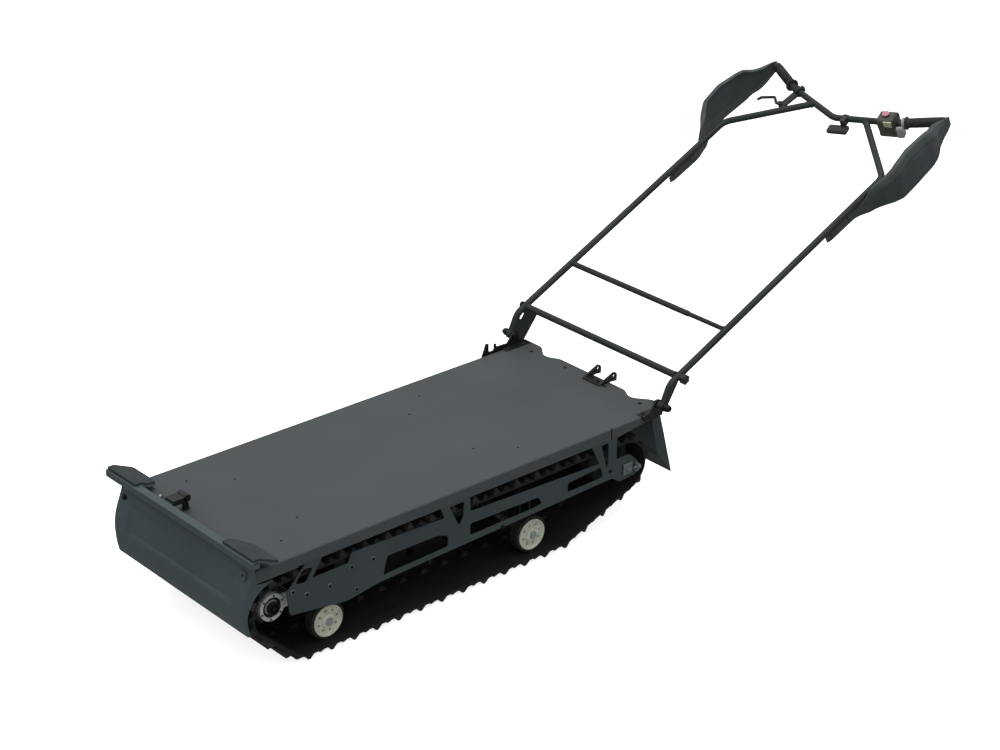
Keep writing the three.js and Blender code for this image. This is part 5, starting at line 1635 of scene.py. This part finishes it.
LEVER_LINE = ((220, 1222), (230, 1216), (258, 1240), (302, 1220), (308, 1205))
lever_line = bent_line([(x, s, lever_height) for x, s in LEVER_LINE], 7, 5)
lever_arm = tube(lever_line, 5, 18, 2.2)
lever_hub = turned(
    [(0, TUBE_RISE + 4.3), (8, TUBE_RISE + 4.3), (9, TUBE_RISE + 5), (9, TUBE_RISE + 12.6),
     (8, TUBE_RISE + 13.3), (4, TUBE_RISE + 13.3), (0, TUBE_RISE + 13.3)],
    (*LEVER_LINE[0], 0),
    "z",
)
finish_piece(
    "brake_lever_forged",
    flipped(join(lever_arm, lever_hub)),
    handle_space,
    "brake_lever",
    "tube_paint",
    tube_paint,
    "brake_lever",
)


# Control pod. An olive moulded box clamped on the handlebar inside the left grip: two halves with a
# seam, a pale green gauge window on the side that faces down the handle, and a red stop button.
pod_plastic, _ = mottled(
    "olive grey polycarbonate, fine texture",
    0.46,
    0.0,
    (30, 3.0, 0.3, 0.7),
    "#3A3C30",
    "#4A4C3F",
    (1.0, 0.07, 0.5, 3.0),
)
POD_X, POD_HALF = 193, 29
pod_place = on_bar(POD_X, inner_turn)
pod_outline = (
    arc(-14, 15, 16, 90, 180, 8)
    + rounded([(-30, -28, 6), (-20, -46, 6), (12, -42, 7), (28, -24, 6), (28, 16, 1)], 5)[:-1]
    + arc(12, 15, 16, 20, 90, 8)
)
clean_outline = []
for point in pod_outline:
    if not clean_outline or math.dist(point, clean_outline[-1]) > 0.8:
        clean_outline.append(point)
window_x0, window_x1, window_s0, window_h0, window_h1 = -5, 25, -19, 4, 26
shell = [
    plate(clean_outline, -POD_HALF, window_x0 - 0.01, edge=2.4, segments=3),
    plate(clean_outline, window_x1 + 0.01, POD_HALF, edge=2.4, segments=3),
]
recessed = [
    (window_s0, b) if a <= window_s0 and window_h0 < b < window_h1 else (a, b) for a, b in clean_outline
]
shell.append(plate(recessed, window_x0, window_x1, edge=0))
seam_band = moved(plate([(a * 1.012, b * 1.012) for a, b in clean_outline], -0.8, 0.8, edge=0.3),
                  Matrix.Translation((-18, 0, 0)))
pod_screws = [
    screw((POD_HALF - 0.4, a, b), "x", 3.2, 1.6) for a, b in ((-18, 20), (17, 20), (-18, -30), (14, -30))
]
collar = turned(
    [(TUBE_RADIUS + 0.2, -POD_HALF - 6), (15, -POD_HALF - 6), (16, -POD_HALF - 5), (16, -POD_HALF + 1),
     (TUBE_RADIUS + 0.2, -POD_HALF + 1)],
    steps=32,
)
finish_piece(
    "control_pod_shell", moved(join(*shell, seam_band), pod_place), handle_space, "handle", "olive_plastic",
    pod_plastic, "control_pod",
)
finish_piece(
    "control_pod_fixings", moved(join(collar, *pod_screws), pod_place), handle_space, "handle", "black_steel",
    black_screws,
)

# Tinted acrylic: a smooth glossy window, pale green, with a clear coat.
lens_plastic, shader = mottled(
    "yellow-green tinted acrylic window",
    0.18,
    0.0,
    (14, 1.0, 0.35, 0.65),
    "#A9B08E",
    "#C3C9A8",
    (0.8, 0.02, 0.3, 3.0),
)
shader.inputs["Coat Weight"].default_value = 0.6
lens = block(window_x0 + 0.5, window_x1 - 0.5, -30, window_s0 + 0.5, window_h0 + 0.5, window_h1 - 0.5, 1.6)
finish_piece(
    "gauge_lens_tinted",
    moved(lens, pod_place),
    handle_space,
    "handle",
    "olive_plastic",
    lens_plastic,
    "gauge_lens",
)

# Moulded ABS, a red faded to rose, satin and nearly smooth.
button_plastic, _ = mottled(
    "rose red moulded plastic", 0.4, 0.0, (8, 1.0, 0.35, 0.65), "#B77883", "#C68E97", (0.7, 0.03, 0.4, 3.0)
)
button = turned(
    [(0, 22), (5.5, 22), (5.5, 36), (12.2, 36), (13, 36.8), (13, 38.6), (11, 40.2), (6, 41), (0, 41)],
    axis="z",
    steps=32,
)
collar_ring = turned([(6.4, 30), (11.5, 30), (11.5, 31.2), (10.8, 31.8), (6.4, 31.8)], axis="z", steps=32)
button_place = pod_place @ Matrix.Translation((-3, 0, 0))
finish_piece("stop_button_mushroom", moved(button, button_place), handle_space, "stop_button", "red_plastic",
             button_plastic, "stop_button")
finish_piece("stop_button_bezel", moved(collar_ring, button_place), handle_space, "handle", "black_plastic",
             dark_plastic)


# Thumb throttle and display. The throttle is a ring on the bar beside the grip with a grey thumb
# paddle under it; the display is a flat dark case that a clamp holds at the middle of the handlebar.
throttle_place = on_bar(238.5, outer_turn)
throttle = join(
    turned([(TUBE_RADIUS + GAP, 0), (18, 0), (19, 1), (19, 9), (18, 10), (TUBE_RADIUS + GAP, 10)]),
    plate(rounded([(-30, -30), (-16, -30), (-10, -14), (-16, -6), (-30, -10)], 4), 0, 10, edge=1),
    plate(
        rounded([(-36, -32, 5), (-30, -36, 4), (-24, -30, 4), (-24, 8, 4), (-31, 8, 5), (-36, 0, 5)], 4),
        -14,
        8,
        edge=3,
        segments=3,
    ),
)

# Moulded nylon: mid grey, satin, with a fine texture.
paddle_plastic, _ = mottled(
    "mid grey nylon", 0.5, 0.0, (12, 3.0, 0.3, 0.7), "#8C898C", "#A5A2A5", (1.0, 0.06, 0.5, 3.0)
)
finish_piece(
    "thumb_throttle_paddle",
    moved(throttle, throttle_place),
    handle_space,
    "thumb_throttle",
    "black_plastic",
    paddle_plastic,
    "thumb_throttle",
)
display_place = on_bar(24, inner_turn)
case = plate(rounded([(-34, -54), (38, -54), (38, -20), (-34, -20)], 6), -22, -11, "z", edge=2, segments=3)
tray = plate(rounded([(-33, -53), (37, -53), (37, -21), (-33, -21)], 6), -24, -20, "z", edge=1)
bezel = plate(rounded([(-30, -51), (34, -51), (34, -23), (-30, -23)], 5), -12, -9, "z", edge=1.2)
clamp = plate(rounded([(-27, -13, 3), (12.8, -13, 12), (12.8, 13, 12), (-27, 13, 3)], 8, 7), 10, 28, edge=1.2)
clamp_bolt = screw((19, 4, 12.4), "z", 3.6, 2.4)

# Moulded ABS, a near black grey, satin, with a fine texture.
display_plastic, _ = mottled(
    "grey ABS display case", 0.5, 0.0, (20, 3.0, 0.3, 0.7), "#1E2021", "#2B2D2E", (1.0, 0.06, 0.5, 3.0)
)
case_and_clamp = moved(join(case, bezel, clamp), display_place)
finish_piece(
    "display_case", case_and_clamp, handle_space, "handle", "black_plastic", display_plastic, "display"
)
tray_and_bolt = moved(join(tray, clamp_bolt), display_place)
finish_piece("display_tray", tray_and_bolt, handle_space, "handle", "black_plastic", dark_plastic)


# Bounds of the finished model, floor left out.
low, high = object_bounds()
